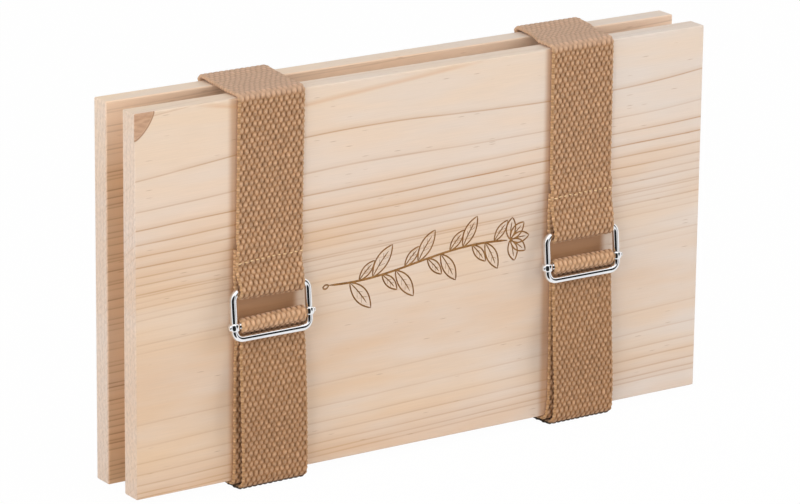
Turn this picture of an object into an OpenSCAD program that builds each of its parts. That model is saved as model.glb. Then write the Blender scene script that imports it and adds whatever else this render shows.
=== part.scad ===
// Flower press: two softwood boards with a stack of corrugated cards and
// blotting sheets between them, held shut by two webbing straps that each
// have a wire slide buckle. It stands on the lower runs of its straps.
// Millimetres. X runs along the boards, Y to the rear and Z up. The origin
// is the middle of the bottom of the whole press.

/* [Boards] */
// Length of each board, along its grain
board_l = 275; // [230:1:360]
// Height of each board as the press stands
board_h = 157.5; // [140:0.5:220]
// Thickness of each board
board_t = 9.2; // [7:0.1:16]
// Radius that sandpaper gives the board's edges
board_edge_r = 1; // [0.5:0.1:2]

/* [Pressing stack] */
// How far the cards and sheets stay back from the board's edges
stack_inset = 10; // [5:0.5:25]
// Thickness of one corrugated card
card_t = 2.2; // [1.8:0.1:4]
// Thickness of the liner paper on each face of a card
liner_t = 0.3; // [0.2:0.05:0.4]
// Thickness of the fluted paper inside a card
flute_t = 0.25; // [0.15:0.05:0.35]
// Distance from one flute to the next
flute_pitch = 6.4; // [4:0.2:9]
// Thickness of one blotting sheet
blotter_t = 0.6; // [0.4:0.1:1]

/* [Straps] */
// Width of the webbing
strap_w = 30; // [20:0.5:40]
// Thickness of the webbing
strap_t = 1.8; // [1.2:0.1:2.2]
// Clearance between one layer of webbing and what it lies on
ply_gap = 0.15; // [0.1:0.05:0.3]
// Middle of the left strap, measured from the middle of the boards
left_strap_x = -78; // [-88:0.5:-60]
// Middle of the right strap, measured from the middle of the boards
right_strap_x = 73.5; // [60:0.5:88]
// How far the free end bows out from the board below its buckle
tail_bow = 3; // [0:0.5:6]
// Length of free end that lies up the back board
tail_back_l = 110; // [80:1:130]
// Length of the hem at the free end
hem_l = 18; // [10:1:25]

/* [Sewn fold] */
// Distance from the left top wire's axis up to the line of stitches
left_stitch_h = 11.3; // [8:0.1:18]
// Distance from the right top wire's axis up to the line of stitches
right_stitch_h = 15.6; // [8:0.1:18]
// Length of the turned-back webbing above the line of stitches
return_l = 5.3; // [3:0.1:10]
// Length over which the webbing steps on to the turned-back end
step_l = 6; // [4:0.5:10]

/* [Buckles] */
// Thickness of the frame's wire
wire_d = 3; // [2:0.1:4]
// Clearance between each edge of the webbing and the frame's side wire
side_gap = 1; // [0.8:0.1:3]
// Height of the frame between the axes of its top and bottom wires
frame_h = 19; // [18:0.1:26]
// Radius of the frame's corners, on the wire's axis
frame_corner_r = 3.5; // [2.6:0.1:4.2]
// Thickness of the sliding bar
bar_d = 2.5; // [1.8:0.1:3]
// Height of the sliding bar's axis above that of the bottom wire
bar_rise = 5.8; // [5.6:0.1:7.4]
// Diameter of the eyes at the sliding bar's ends
eye_od = 5; // [4.6:0.1:6]
// Height of these eyes along the side wires
eye_h = 3; // [2:0.1:4]
// Radius of the nub on the outside of each eye
nub_r = 1.4; // [1:0.1:1.8]
// Height of the left buckle's top wire above the bottom of the boards
left_buckle_h = 79.8; // [70:0.1:100]
// Height of the right buckle's top wire above the bottom of the boards
right_buckle_h = 79.5; // [70:0.1:100]

/* [Hidden] */
$fn = 48;

// Overrun of a cut past the surface that it opens
overrun = 1;
// Angle between neighbouring points of a bend in the webbing
bend_step = 15;
// Number of steps in an easing curve of the webbing, and in the free end's bow
ease_steps = 8;
bow_steps = 16;

// Clearance between neighbouring layers of the pressing stack
lay_gap = 0.02;
// Clearance between the webbing and the wire or bar that it turns round
turn_gap = 0.1;
// Clearance between the bottom wire and the free end behind it
pinch_gap = 0.3;
// Clearance between a side wire and the eye that slides on it
eye_gap = 0.1;
// Height up the board, past its edge, where each foot of a strap ends
foot_h = 8;
// Straight length of webbing on each side of a seam in a bowed part
seam_l = 0.8;

// Shares of a flute's pitch that its channel is wide at its foot and its crest
channel_foot_share = 0.66;
channel_crest_share = 0.2;
// Share of the eye's corner distance that its rounding keeps
eye_round_share = 0.92;

// The stack of four cards and six sheets sets the gap between the boards
stack_t = 4 * card_t + 6 * blotter_t + 11 * lay_gap;
half_gap = stack_t / 2;
face_y = half_gap + board_t;
sheet_l = board_l - 2 * stack_inset;
sheet_h = board_h - 2 * stack_inset;

// Distance of layer number n of the webbing from the wood, to its middle
function ply(n) = n * (strap_t + ply_gap) - strap_t / 2;

// The press stands on two layers of webbing
board_z = ply(2) + strap_t / 2;
top_z = board_z + board_h;

side_wire_x = strap_w / 2 + side_gap + wire_d / 2;

// The webbing's edges reach over the start of the frame's corners, which lie
// lower than the top wire, so the fold is wider than the wire alone needs
corner_in = max(0, strap_w / 2 - (side_wire_x - frame_corner_r));
corner_drop = frame_corner_r - sqrt(pow(frame_corner_r, 2) - pow(corner_in, 2));
corner_reach = corner_drop + wire_d / 2 / cos(asin(corner_in / frame_corner_r));

// The fold lies against the board behind the top wire
fold_r = corner_reach + turn_gap + strap_t / 2;
top_wire_out = ply(1) + fold_r;
// The bottom wire lies over both layers of webbing, so the frame leans out
pinch_r = wire_d / 2 + pinch_gap + strap_t / 2;
low_wire_out = ply(2) + pinch_r;
lean = asin((low_wire_out - top_wire_out) / frame_h);
low_wire_drop = frame_h * cos(lean);
// The bar lies on the frame's slope
bar_out = low_wire_out - bar_rise * sin(lean);
loop_r = bar_d / 2 + turn_gap + strap_t / 2;
eye_bore_r = wire_d / 2 + eye_gap;

// Places of the free end's two parts on the back board
tail_top_z = board_z + tail_back_l;
hem_z = tail_top_z - hem_l;

// The whole press is centred between its foremost and rearmost surfaces
front_reach = max(
    bar_out + loop_r + strap_t / 2,
    low_wire_out + wire_d / 2,
    bar_out + eye_od / 2,
    ply(2) + tail_bow + strap_t / 2
);
rear_reach = ply(3) + strap_t / 2;
centre_y = (front_reach - rear_reach) / 2;

wood = "#e3cba6";
webbing = "#b98a5a";
chrome = "#c8c8c8";
card = "#b98f62";
paper = "#f1ece0";

// Paths of the webbing are lists of [out, z] points: out is the distance
// from the middle of the gap between the boards, to the front or to the rear

function polar(r, a) = [r * cos(a), r * sin(a)];

// Points on a bend about a centre, from one angle to another
function bend(centre, r, from, to) =
    let (n = max(1, ceil(abs(to - from) / bend_step)))
    [for (i = [0:n]) centre + polar(r, from + (to - from) * i / n)];

// Points on a smooth step from one place to another, upright at both ends
function ease(from, to) =
    [for (i = [0:ease_steps])
        let (t = i / ease_steps)
        [from.x + (to.x - from.x) * (1 - cos(180 * t)) / 2, from.y + (to.y - from.y) * t]];

// Points down an upright run that bows out in its middle
function bowed(out, z_from, z_to, bow) =
    [for (i = [0:bow_steps])
        let (t = i / bow_steps)
        [out + bow * pow(sin(180 * t), 2), z_from + (z_to - z_from) * t]];

// Angle at which a line leaves one circle to reach the far side of another.
// It crosses straight between circles that stand too close for a slanting line
function crossing_angle(from, r_from, to, r_to) =
    let (d = to - from)
    atan2(d.y, d.x) + acos(min(1, (r_from + r_to) / norm(d)));

function unit(v) = v / norm(v);
function apart(a, b) = norm(a - b) > strap_t / 100;

// The path without its repeated points
function cleaned(path) =
    [for (i = [0:len(path) - 1]) if (i == 0 || apart(path[i], path[i - 1])) path[i]];

// One side of a ribbon about a path, at a signed distance from it
function side_of(path, distance) =
    let (last = len(path) - 1)
    [for (i = [0:last])
        let (
            before = unit(path[max(i, 1)] - path[max(i, 1) - 1]),
            after = unit(path[min(i, last - 1) + 1] - path[min(i, last - 1)]),
            along = unit(before + after),
            corner = before * along
        )
        path[i] + distance / corner * [-along.y, along.x]];

function reversed(list) = [for (i = [len(list) - 1:-1:0]) list[i]];

// A length of webbing that follows a path. side is 1 at the rear, -1 in front
module webbing_along(path, x, side) {
    clean = cleaned(path);
    outline = concat(side_of(clean, strap_t / 2), reversed(side_of(clean, -strap_t / 2)));
    color(webbing)
    translate([x - strap_w / 2, centre_y, 0])
    rotate([90, 0, 90])
    linear_extrude(strap_w)
    polygon([for (p = outline) [side * p.x, p.y]]);
}

// Centres of the board's rounded outer edges, which the webbing bends round
function top_edge() = [face_y - board_edge_r, top_z - board_edge_r];
function low_edge() = [face_y - board_edge_r, board_z + board_edge_r];

// Layer n across the top of a board and round its outer edge
function over_board(n) = concat(
    [[half_gap, top_z + ply(n)]],
    bend(top_edge(), board_edge_r + ply(n), 90, 0)
);

// Layer n round the outer edge of a board and back under it
function under_board(n) = concat(
    bend(low_edge(), board_edge_r + ply(n), 0, -90),
    [[half_gap, board_z - ply(n)]]
);

module rounded_rectangle(w, h, r) {
    translate([r, 0]) square([w - 2 * r, h]);
    translate([0, r]) square([w, h - 2 * r]);
    for (x = [r, w - r], y = [r, h - r]) translate([x, y]) circle(r);
}

// A board with every edge eased, its inner face at the given Y
module board(y) {
    color(wood)
    translate([-board_l / 2, y + centre_y, board_z])
    intersection() {
        linear_extrude(board_h)
        rounded_rectangle(board_l, board_t, board_edge_r);
        translate([0, board_t, 0])
        rotate([90, 0, 0])
        linear_extrude(board_t)
        rounded_rectangle(board_l, board_h, board_edge_r);
        rotate([90, 0, 90])
        linear_extrude(board_l)
        rounded_rectangle(board_t, board_h, board_edge_r);
    }
}

module rear_board() {
    board(half_gap);
}

module front_board() {
    board(-half_gap - board_t);
}

// One air channel of a card, standing on the liner at Y zero
module channel(height) {
    foot = flute_pitch * channel_foot_share / 2;
    crest = flute_pitch * channel_crest_share / 2;
    polygon([[-foot, 0], [foot, 0], [crest, height], [-crest, height]]);
}

// A corrugated card, its flutes upright, its rear face at the given Y
module cardboard(y) {
    flutes = floor((sheet_l - flute_pitch) / flute_pitch);
    channel_h = card_t - 2 * liner_t - flute_t;
    color(card)
    translate([0, y - card_t + centre_y, board_z + stack_inset])
    linear_extrude(sheet_h)
    difference() {
        translate([-sheet_l / 2, 0]) square([sheet_l, card_t]);
        for (i = [0:flutes - 1]) translate([(i - (flutes - 1) / 2) * flute_pitch, 0]) {
            translate([-flute_pitch / 4, liner_t]) channel(channel_h);
            translate([flute_pitch / 4, card_t - liner_t]) mirror([0, 1]) channel(channel_h);
        }
    }
}

// A sheet of blotting paper, its rear face at the given Y
module blotter(y) {
    color(paper)
    translate([-sheet_l / 2, y - blotter_t + centre_y, board_z + stack_inset])
    cube([sheet_l, blotter_t, sheet_h]);
}

// From the rear board forwards, the stack is card, sheet, sheet, card, and so
// on. Each function gives the rear face of piece number n, counted from 1
function card_y(n) = half_gap - lay_gap - (n - 1) * (card_t + 2 * blotter_t + 3 * lay_gap);
function blotter_y(n) =
    half_gap - lay_gap - ceil(n / 2) * (card_t + lay_gap) - (n - 1) * (blotter_t + lay_gap);

module cardboard_1() cardboard(card_y(1));
module cardboard_2() cardboard(card_y(2));
module cardboard_3() cardboard(card_y(3));
module cardboard_4() cardboard(card_y(4));

module blotter_1() blotter(blotter_y(1));
module blotter_2() blotter(blotter_y(2));
module blotter_3() blotter(blotter_y(3));
module blotter_4() blotter(blotter_y(4));
module blotter_5() blotter(blotter_y(5));
module blotter_6() blotter(blotter_y(6));

// The strap over, behind and under the rear board, with the free end under it
module strap_rear(x) {
    webbing_along(concat(over_board(1), under_board(1)), x, 1);
    webbing_along(concat([[face_y + ply(2), board_z + foot_h]], under_board(2)), x, 1);
}

// The strap across the top of the gap between the boards
module strap_top_span(x) {
    z = top_z + ply(1);
    webbing_along([[-half_gap, z], [half_gap, z]], x, 1);
}

// Both layers of the strap across the bottom of the gap
module strap_bottom_span(x) {
    for (n = [1, 2]) {
        z = board_z - ply(n);
        webbing_along([[-half_gap, z], [half_gap, z]], x, 1);
    }
}

// The strap over the front board, down to the sewn fold round the top wire
module strap_front_top(x, buckle_h, stitch_h) {
    wire_z = board_z + buckle_h;
    stitch_z = wire_z + stitch_h;
    return_z = stitch_z + return_l;
    webbing_along(concat(
        over_board(1),
        ease([face_y + ply(1), return_z + step_l], [face_y + ply(2), return_z]),
        ease([face_y + ply(2), stitch_z], [face_y + top_wire_out + fold_r, wire_z]),
        bend([face_y + top_wire_out, wire_z], fold_r, 0, -180),
        [[face_y + ply(1), return_z]]
    ), x, -1);
}

// The strap from behind the bottom wire, over the bar and back behind it
module strap_bar_loop(x, buckle_h) {
    low_z = board_z + buckle_h - low_wire_drop;
    bar_z = low_z + bar_rise * cos(lean);
    bar = [face_y + bar_out, bar_z];
    wire = [face_y + low_wire_out, low_z];
    leaving = crossing_angle(bar, loop_r, wire, pinch_r);
    webbing_along(concat(
        [[face_y + ply(1), low_z - seam_l]],
        ease([face_y + ply(1), low_z], [bar.x - loop_r, bar_z]),
        bend(bar, loop_r, 180, leaving),
        bend(wire, pinch_r, leaving + 180, 180),
        [[face_y + ply(2), low_z - seam_l]]
    ), x, -1);
}

// Both layers of the strap down the front board, the free end outermost
module strap_front_run(x, buckle_h) {
    seam_z = board_z + buckle_h - low_wire_drop - seam_l;
    foot_z = board_z + foot_h;
    webbing_along([[face_y + ply(1), seam_z], [face_y + ply(1), foot_z]], x, -1);
    webbing_along(concat(
        [[face_y + ply(2), seam_z]],
        bowed(face_y + ply(2), seam_z - seam_l, foot_z + seam_l, tail_bow),
        [[face_y + ply(2), foot_z]]
    ), x, -1);
}

// Both layers of the strap round the lower edge of the front board
module strap_front_foot(x) {
    for (n = [1, 2])
        webbing_along(concat([[face_y + ply(n), board_z + foot_h]], under_board(n)), x, -1);
}

// The free end up the back board, as far as its hem
module tail_run(x) {
    out = face_y + ply(2);
    webbing_along([[out, board_z + foot_h], [out, hem_z]], x, 1);
}

// The hem of the free end, turned over once to the outside
module tail_end(x) {
    turn_r = (ply(3) - ply(2)) / 2;
    turn = [face_y + (ply(2) + ply(3)) / 2, tail_top_z - turn_r - strap_t / 2];
    webbing_along(concat(
        [[turn.x - turn_r, hem_z]],
        bend(turn, turn_r, 180, 0),
        [[turn.x + turn_r, hem_z]]
    ), x, 1);
}

// Puts a piece of a buckle, drawn flat in XZ with the top wire on the X axis
// and the bottom wire below it, where the buckle hangs on the front board
module on_front(x, buckle_h) {
    translate([x, centre_y - face_y - top_wire_out, board_z + buckle_h])
    rotate([-lean, 0, 0])
    children();
}

// A straight length of round bar, centred, along X
module rod(length, d) {
    rotate([0, 90, 0]) cylinder(d = d, h = length, center = true);
}

// One corner of the frame, its centre at the origin, turned into place
module wire_corner(turn) {
    rotate([90, turn, 0])
    rotate_extrude(angle = 90)
    translate([frame_corner_r, 0])
    circle(d = wire_d);
}

// The closed wire frame of a buckle
module buckle_frame(x, buckle_h) {
    straight_x = side_wire_x - frame_corner_r;
    straight_h = frame_h - 2 * frame_corner_r;
    color(chrome)
    on_front(x, buckle_h)
    union() {
        for (z = [0, -frame_h]) translate([0, 0, z]) rod(2 * straight_x, wire_d);
        for (side = [-1, 1])
            translate([side * side_wire_x, 0, -frame_h / 2])
            cylinder(d = wire_d, h = straight_h, center = true);
        translate([straight_x, 0, -frame_corner_r]) wire_corner(0);
        translate([-straight_x, 0, -frame_corner_r]) wire_corner(-90);
        translate([-straight_x, 0, frame_corner_r - frame_h]) wire_corner(180);
        translate([straight_x, 0, frame_corner_r - frame_h]) wire_corner(90);
    }
}

// The sliding bar, with an eye round each side wire and a nub outside it
module buckle_bar(x, buckle_h) {
    eye_round_r = norm([eye_od, eye_h]) / 2 * eye_round_share;
    color(chrome)
    on_front(x, buckle_h)
    translate([0, 0, bar_rise - frame_h])
    difference() {
        union() {
            rod(2 * side_wire_x, bar_d);
            for (side = [-1, 1]) translate([side * side_wire_x, 0, 0]) {
                intersection() {
                    cylinder(d = eye_od, h = eye_h, center = true);
                    sphere(r = eye_round_r);
                }
                translate([side * nub_r, 0, 0]) sphere(r = nub_r);
            }
        }
        for (side = [-1, 1])
            translate([side * side_wire_x, 0, 0])
            cylinder(r = eye_bore_r, h = eye_h + 2 * overrun, center = true);
    }
}

module left_strap_rear() strap_rear(left_strap_x);
module left_strap_top_span() strap_top_span(left_strap_x);
module left_strap_front_top() strap_front_top(left_strap_x, left_buckle_h, left_stitch_h);
module left_strap_bar_loop() strap_bar_loop(left_strap_x, left_buckle_h);
module left_strap_front_run() strap_front_run(left_strap_x, left_buckle_h);
module left_strap_front_foot() strap_front_foot(left_strap_x);
module left_strap_bottom_span() strap_bottom_span(left_strap_x);
module left_tail_run() tail_run(left_strap_x);
module left_tail_end() tail_end(left_strap_x);
module left_buckle_frame() buckle_frame(left_strap_x, left_buckle_h);
module left_buckle_bar() buckle_bar(left_strap_x, left_buckle_h);

module right_strap_rear() strap_rear(right_strap_x);
module right_strap_top_span() strap_top_span(right_strap_x);
module right_strap_front_top() strap_front_top(right_strap_x, right_buckle_h, right_stitch_h);
module right_strap_bar_loop() strap_bar_loop(right_strap_x, right_buckle_h);
module right_strap_front_run() strap_front_run(right_strap_x, right_buckle_h);
module right_strap_front_foot() strap_front_foot(right_strap_x);
module right_strap_bottom_span() strap_bottom_span(right_strap_x);
module right_tail_run() tail_run(right_strap_x);
module right_tail_end() tail_end(right_strap_x);
module right_buckle_frame() buckle_frame(right_strap_x, right_buckle_h);
module right_buckle_bar() buckle_bar(right_strap_x, right_buckle_h);

rear_board();
front_board();
cardboard_1();
cardboard_2();
cardboard_3();
cardboard_4();
blotter_1();
blotter_2();
blotter_3();
blotter_4();
blotter_5();
blotter_6();
left_strap_rear();
left_strap_top_span();
left_strap_front_top();
left_strap_bar_loop();
left_strap_front_run();
left_strap_front_foot();
left_strap_bottom_span();
left_tail_run();
left_tail_end();
left_buckle_frame();
left_buckle_bar();
right_strap_rear();
right_strap_top_span();
right_strap_front_top();
right_strap_bar_loop();
right_strap_front_run();
right_strap_front_foot();
right_strap_bottom_span();
right_tail_run();
right_tail_end();
right_buckle_frame();
right_buckle_bar();
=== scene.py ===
# %% [markdown]
# # A flower press in cells
# Two pine boards hold a stack of corrugated cards and blotting sheets, and two
# webbing straps with sliding-bar buckles squeeze them. The imported CAD model is
# the fixed frame for everything here: each dressed piece lies where its solid
# lies, and the boards, buckles, bars, stitches and the tails of the straps ride
# on the bodies that carry them.

# %% Load the imported press
import random
from math import acos, asin, atan2, ceil, cos, degrees, hypot, pi, radians, sin

import bmesh
import bpy
from mathutils import Matrix, Vector


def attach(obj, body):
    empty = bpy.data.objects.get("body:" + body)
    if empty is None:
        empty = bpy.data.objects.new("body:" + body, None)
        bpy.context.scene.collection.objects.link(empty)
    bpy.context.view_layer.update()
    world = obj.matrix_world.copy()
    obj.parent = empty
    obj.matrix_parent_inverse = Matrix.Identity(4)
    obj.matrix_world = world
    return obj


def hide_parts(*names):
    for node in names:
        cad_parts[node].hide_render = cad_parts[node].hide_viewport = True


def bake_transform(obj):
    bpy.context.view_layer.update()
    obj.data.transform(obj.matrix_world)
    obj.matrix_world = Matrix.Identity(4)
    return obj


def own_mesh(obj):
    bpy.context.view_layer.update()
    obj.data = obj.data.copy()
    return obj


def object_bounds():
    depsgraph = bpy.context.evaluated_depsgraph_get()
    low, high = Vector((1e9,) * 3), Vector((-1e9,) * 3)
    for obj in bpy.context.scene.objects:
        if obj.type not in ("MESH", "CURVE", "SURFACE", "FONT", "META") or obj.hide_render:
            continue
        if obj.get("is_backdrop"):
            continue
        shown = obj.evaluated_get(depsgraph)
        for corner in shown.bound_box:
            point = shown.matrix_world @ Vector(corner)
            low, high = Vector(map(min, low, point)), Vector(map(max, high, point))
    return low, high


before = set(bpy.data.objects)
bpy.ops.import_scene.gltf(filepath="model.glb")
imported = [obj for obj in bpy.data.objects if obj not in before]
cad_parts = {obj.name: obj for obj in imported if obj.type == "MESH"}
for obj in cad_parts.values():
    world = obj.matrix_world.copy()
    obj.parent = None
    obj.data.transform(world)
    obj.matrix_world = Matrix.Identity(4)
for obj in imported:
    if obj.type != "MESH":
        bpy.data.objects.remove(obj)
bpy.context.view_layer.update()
MM = 0.001

# %% [markdown]
# ## Helpers
# A few small tools serve everything below. Colours are written as sRGB hex, the
# way a paint chart gives them, and turned to linear light once. Nodes could be
# placed by hand in the editor, but one function that adds any node, sets its
# properties and fills its inputs lets a tree read from top to bottom like a
# recipe. Another runs a tree of geometry nodes and keeps its result as a plain
# mesh, because only a plain mesh can be exported.

# %% Colours
def linear(hex_code):
    """An sRGB hex colour as linear red, green, blue and alpha."""
    channels = [int(hex_code[i:i + 2], 16) / 255 for i in (1, 3, 5)]
    return tuple(
        c / 12.92 if c <= 0.04045 else ((c + 0.055) / 1.055) ** 2.4 for c in channels
    ) + (1.0,)


print("middle grey #808080 as linear light:", round(linear("#808080")[0], 3))

# %% One function for every node
MATH, VECTOR, MIX = "ShaderNodeMath", "ShaderNodeVectorMath", "ShaderNodeMix"
RANGE, NOISE, RAMP = "ShaderNodeMapRange", "ShaderNodeTexNoise", "ShaderNodeValToRGB"
COMBINE, SEPARATE = "ShaderNodeCombineXYZ", "ShaderNodeSeparateXYZ"
# A Mix node keeps the sockets of all its data types. These are the colour's
COLOUR = {"data_type": "RGBA", "out": 2}
SHARE, UNDER, OVER = 0, 6, 7


def add(tree, kind, *values, out=0, named=None, stops=(), **settings):
    """Adds a node. Values fill its inputs in order and named ones by name or
    number. A socket is linked, anything else is set. Stops are the places and
    colours of a colour ramp. Returns one output, or the node."""
    made = tree.nodes.new(kind)
    for setting, value in settings.items():
        setattr(made, setting, value)
    for i, (position, code) in enumerate(stops):
        spots = made.color_ramp.elements
        spot = spots[i] if i < len(spots) else spots.new(1.0)
        spot.position, spot.color = position, linear(code)
    pairs = list(enumerate(values)) + list((named or {}).items())
    for key, value in pairs:
        if isinstance(value, bpy.types.NodeSocket):
            tree.links.new(value, made.inputs[key])
        elif value is not None:
            made.inputs[key].default_value = value
    return made if out is None else made.outputs[out]


# %% Start and end a geometry tree
def new_tree(name, inputs):
    """A geometry tree with named inputs. Returns it and its group input."""
    tree = bpy.data.node_groups.new(name, "GeometryNodeTree")
    socket = tree.interface.new_socket
    socket("Geometry", in_out="INPUT", socket_type="NodeSocketGeometry")
    for label, kind, default in inputs:
        socket(label, in_out="INPUT", socket_type=kind).default_value = default
    socket("Geometry", in_out="OUTPUT", socket_type="NodeSocketGeometry")
    return tree, add(tree, "NodeGroupInput", out=None)


def end_tree(tree, geometry, material):
    """Realizes instances, sets the material and closes the tree."""
    real = add(tree, "GeometryNodeRealizeInstances", geometry)
    done = add(tree, "GeometryNodeSetMaterial", real, named={"Material": material})
    add(tree, "NodeGroupOutput", done, out=None)
    print(f"{tree.name}: {len(tree.nodes)} nodes")


# %% From a tree to a plain mesh
def link(name, data):
    """An object in the scene that holds the data."""
    made = bpy.data.objects.new(name, data)
    bpy.context.scene.collection.objects.link(made)
    return made


def polyline(name, points, closed=False):
    """A mesh object that is one line through the points."""
    mesh = bpy.data.meshes.new(name)
    edges = [(i, i + 1) for i in range(len(points) - 1)]
    mesh.from_pydata(points, edges + [(len(points) - 1, 0)] * closed, [])
    return link(name, mesh)


def evaluated(host):
    """What the host looks like with its modifiers, as a plain mesh."""
    graph = bpy.context.evaluated_depsgraph_get()
    return bpy.data.meshes.new_from_object(host.evaluated_get(graph))


def settle(host, tree, **inputs):
    """Runs the tree on the host and returns its result as a plain mesh."""
    modifier = host.modifiers.new(tree.name, "NODES")
    modifier.node_group = tree
    sockets = [s for s in tree.interface.items_tree if s.in_out == "INPUT"]
    ids = {s.name: s.identifier for s in sockets}
    for label, value in inputs.items():
        modifier[ids[label.replace("_", " ")]] = value
    mesh = evaluated(host)
    host.modifiers.remove(modifier)
    bpy.data.objects.remove(host)
    return mesh


# %% Show a finished piece
def signed_volume(mesh):
    """The volume inside a closed mesh, below zero if its faces point inwards."""
    mesh.calc_loop_triangles()
    v = mesh.vertices
    return sum(
        v[a].co.dot(v[b].co.cross(v[c].co))
        for a, b, c in (t.vertices for t in mesh.loop_triangles)
    ) / 6


def show(name, *meshes):
    """One object in the scene that holds all these meshes, faces outwards."""
    for mesh in meshes:
        if signed_volume(mesh) < 0:
            mesh.flip_normals()
    if len(meshes) > 1:
        joined = bmesh.new()
        for mesh in meshes:
            joined.from_mesh(mesh)
        joined.to_mesh(meshes[0])
        joined.free()
    made = link(name, meshes[0])
    made.data.name = name
    print(f"{name}: {sum(len(p.vertices) - 2 for p in made.data.polygons)} triangles")
    return made


# %% [markdown]
# ## Camera
# The picture is taken from the left, a little above, from far away with a long
# lens, so that the boards' edges stay almost parallel. A camera can be placed
# by eye, but here one was fitted to the boards' corners. It gave the place, the
# angles and the lens, so that what still differs is a matter of shape.

# %% Set the camera
CENTRE_Y = 1.2041 * MM      # middle of the gap between the boards
BOARD_Z = 3.9 * MM          # bottom of the boards, on two layers of webbing
# Angles to the right, down, and of the camera's own tilt
YAW, PITCH, ROLL = radians(33.95), radians(16.73), radians(0.66)
CAMERA_PLACE = Vector((-0.9993, -1.4793 + CENTRE_Y, 0.6132 + BOARD_Z))
SENSOR_W, LENS = 36, 205.7  # mm on the film
FAR = 100                   # metres

forward = Vector((sin(YAW) * cos(PITCH), cos(YAW) * cos(PITCH), -sin(PITCH)))
level = Vector((cos(YAW), -sin(YAW), 0))
above = level.cross(forward)
across = cos(ROLL) * level + sin(ROLL) * above
upward = cos(ROLL) * above - sin(ROLL) * level

camera = link("camera", bpy.data.cameras.new("camera"))
bpy.context.scene.camera = camera
camera.data.sensor_width = SENSOR_W
camera.data.lens = LENS
camera.data.clip_end = FAR
turn = Matrix((across, upward, -forward)).transposed().to_4x4()
camera.matrix_world = Matrix.Translation(CAMERA_PLACE) @ turn
print("camera to the press:", round(camera.location.length, 3), "m")

# %% [markdown]
# ## Light and background
# A product photograph like this is lit in a white tent: light comes from all
# round, and softboxes on both sides give the shade along the straps. The camera
# sees pure white. The chromed wire mirrors the white tent and two dark openings
# in its front, which draw the thin black line down the middle of each wire. A
# real room could be modelled for that, but the world's own nodes are lighter
# and leave the light on the wood alone.

# %% World
TENT_LIGHT = 0.36           # strength of what the cloth of the tent gives
# Azimuth, elevation and radius of each dark opening, in degrees
OPENINGS = ((-34, -6, 38), (33.5, 15, 24))
RIM_OUT, RIM_IN = 3, 4      # degrees over which its rim goes from light to dark
HOLE_DARK = 0.02            # what is left of the tent's white in an opening
# The mirrored tent gets brighter from this height of view to that
ROOF_FROM, ROOF_TO, ROOF_LIGHT = -0.2, 0.9, 1.3

scene = bpy.context.scene
scene.view_settings.view_transform = "Standard"
world = bpy.data.worlds.new("white tent")
scene.world = world
world.use_nodes = True
tent = world.node_tree
tent.nodes.clear()
ray = add(tent, "ShaderNodeLightPath", out=None)
direction = add(tent, "ShaderNodeTexCoord", out="Generated")
holes = 1.0
for azimuth, elevation, radius in OPENINGS:
    a, e = radians(azimuth), radians(elevation)
    middle = (sin(a) * cos(e), -cos(a) * cos(e), sin(e))
    facing = add(tent, VECTOR, direction, middle, operation="DOT_PRODUCT", out="Value")
    rim = cos(radians(radius + RIM_OUT)), cos(radians(radius - RIM_IN))
    dark = add(tent, RANGE, facing, *rim, 1.0, HOLE_DARK)
    holes = add(tent, MATH, dark, holes, operation="MULTIPLY")
height = add(tent, SEPARATE, direction, out="Z")
roof = add(tent, RANGE, height, ROOF_FROM, ROOF_TO, 1.0, ROOF_LIGHT)
seen = add(tent, MATH, holes, roof, operation="MULTIPLY")
ambient = add(tent, "ShaderNodeBackground", linear("#fffdfa"), TENT_LIGHT)
mirrored = add(tent, "ShaderNodeBackground", linear("#ffffff"), seen)
white = add(tent, "ShaderNodeBackground", linear("#ffffff"), 1.0)
soft = add(tent, "ShaderNodeMixShader", ray.outputs["Is Glossy Ray"], ambient, mirrored)
final = add(tent, "ShaderNodeMixShader", ray.outputs["Is Camera Ray"], soft, white)
add(tent, "ShaderNodeOutputWorld", final, out=None)
print("tent:", len(tent.nodes), "nodes,", len(OPENINGS), "dark openings")

# %% Lamps
LIT_SPOT = Vector((0, 0, 0.08))     # half way up the press
# Name, place, size in metres and power in watts
SOFTBOXES = (
    ("overhead", (-0.3, -0.35, 1.5), 1.1, 4.5),
    ("left_side", (-1.6, -0.7, 0.8), 1.2, 17.5),
    ("right_side", (1.55, -0.9, 0.75), 1.1, 15.5),
    ("front", (0.2, -1.8, 0.7), 1.2, 2.0),
)
for name, place, size, power in SOFTBOXES:
    lamp = link(name, bpy.data.lights.new(name, "AREA"))
    lamp.data.size, lamp.data.energy = size, power
    lamp.data.color = linear("#fffefb")[:3]
    lamp.visible_glossy = False
    lamp.location = place
    aim = LIT_SPOT - Vector(place)
    lamp.rotation_euler = aim.to_track_quat("-Z", "Y").to_euler()
    print(f"{name}: {power} W, {size} m wide, {aim.length:.2f} m away")

# %% [markdown]
# ## Floor
# The floor is a matt white sheet. A studio has a curved one that runs up the
# wall, and that could be modelled, but a flat sheet under a white world looks
# the same. Lit white paper is never as white as the background behind it, so to
# the camera this sheet also glows almost white. The small share of its shade
# that is left keeps the press standing on something.

# %% Make the floor
FLOOR_HALF = 6.0
GLOW = 0.985                # share of the sheet that is glow, to the camera

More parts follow.
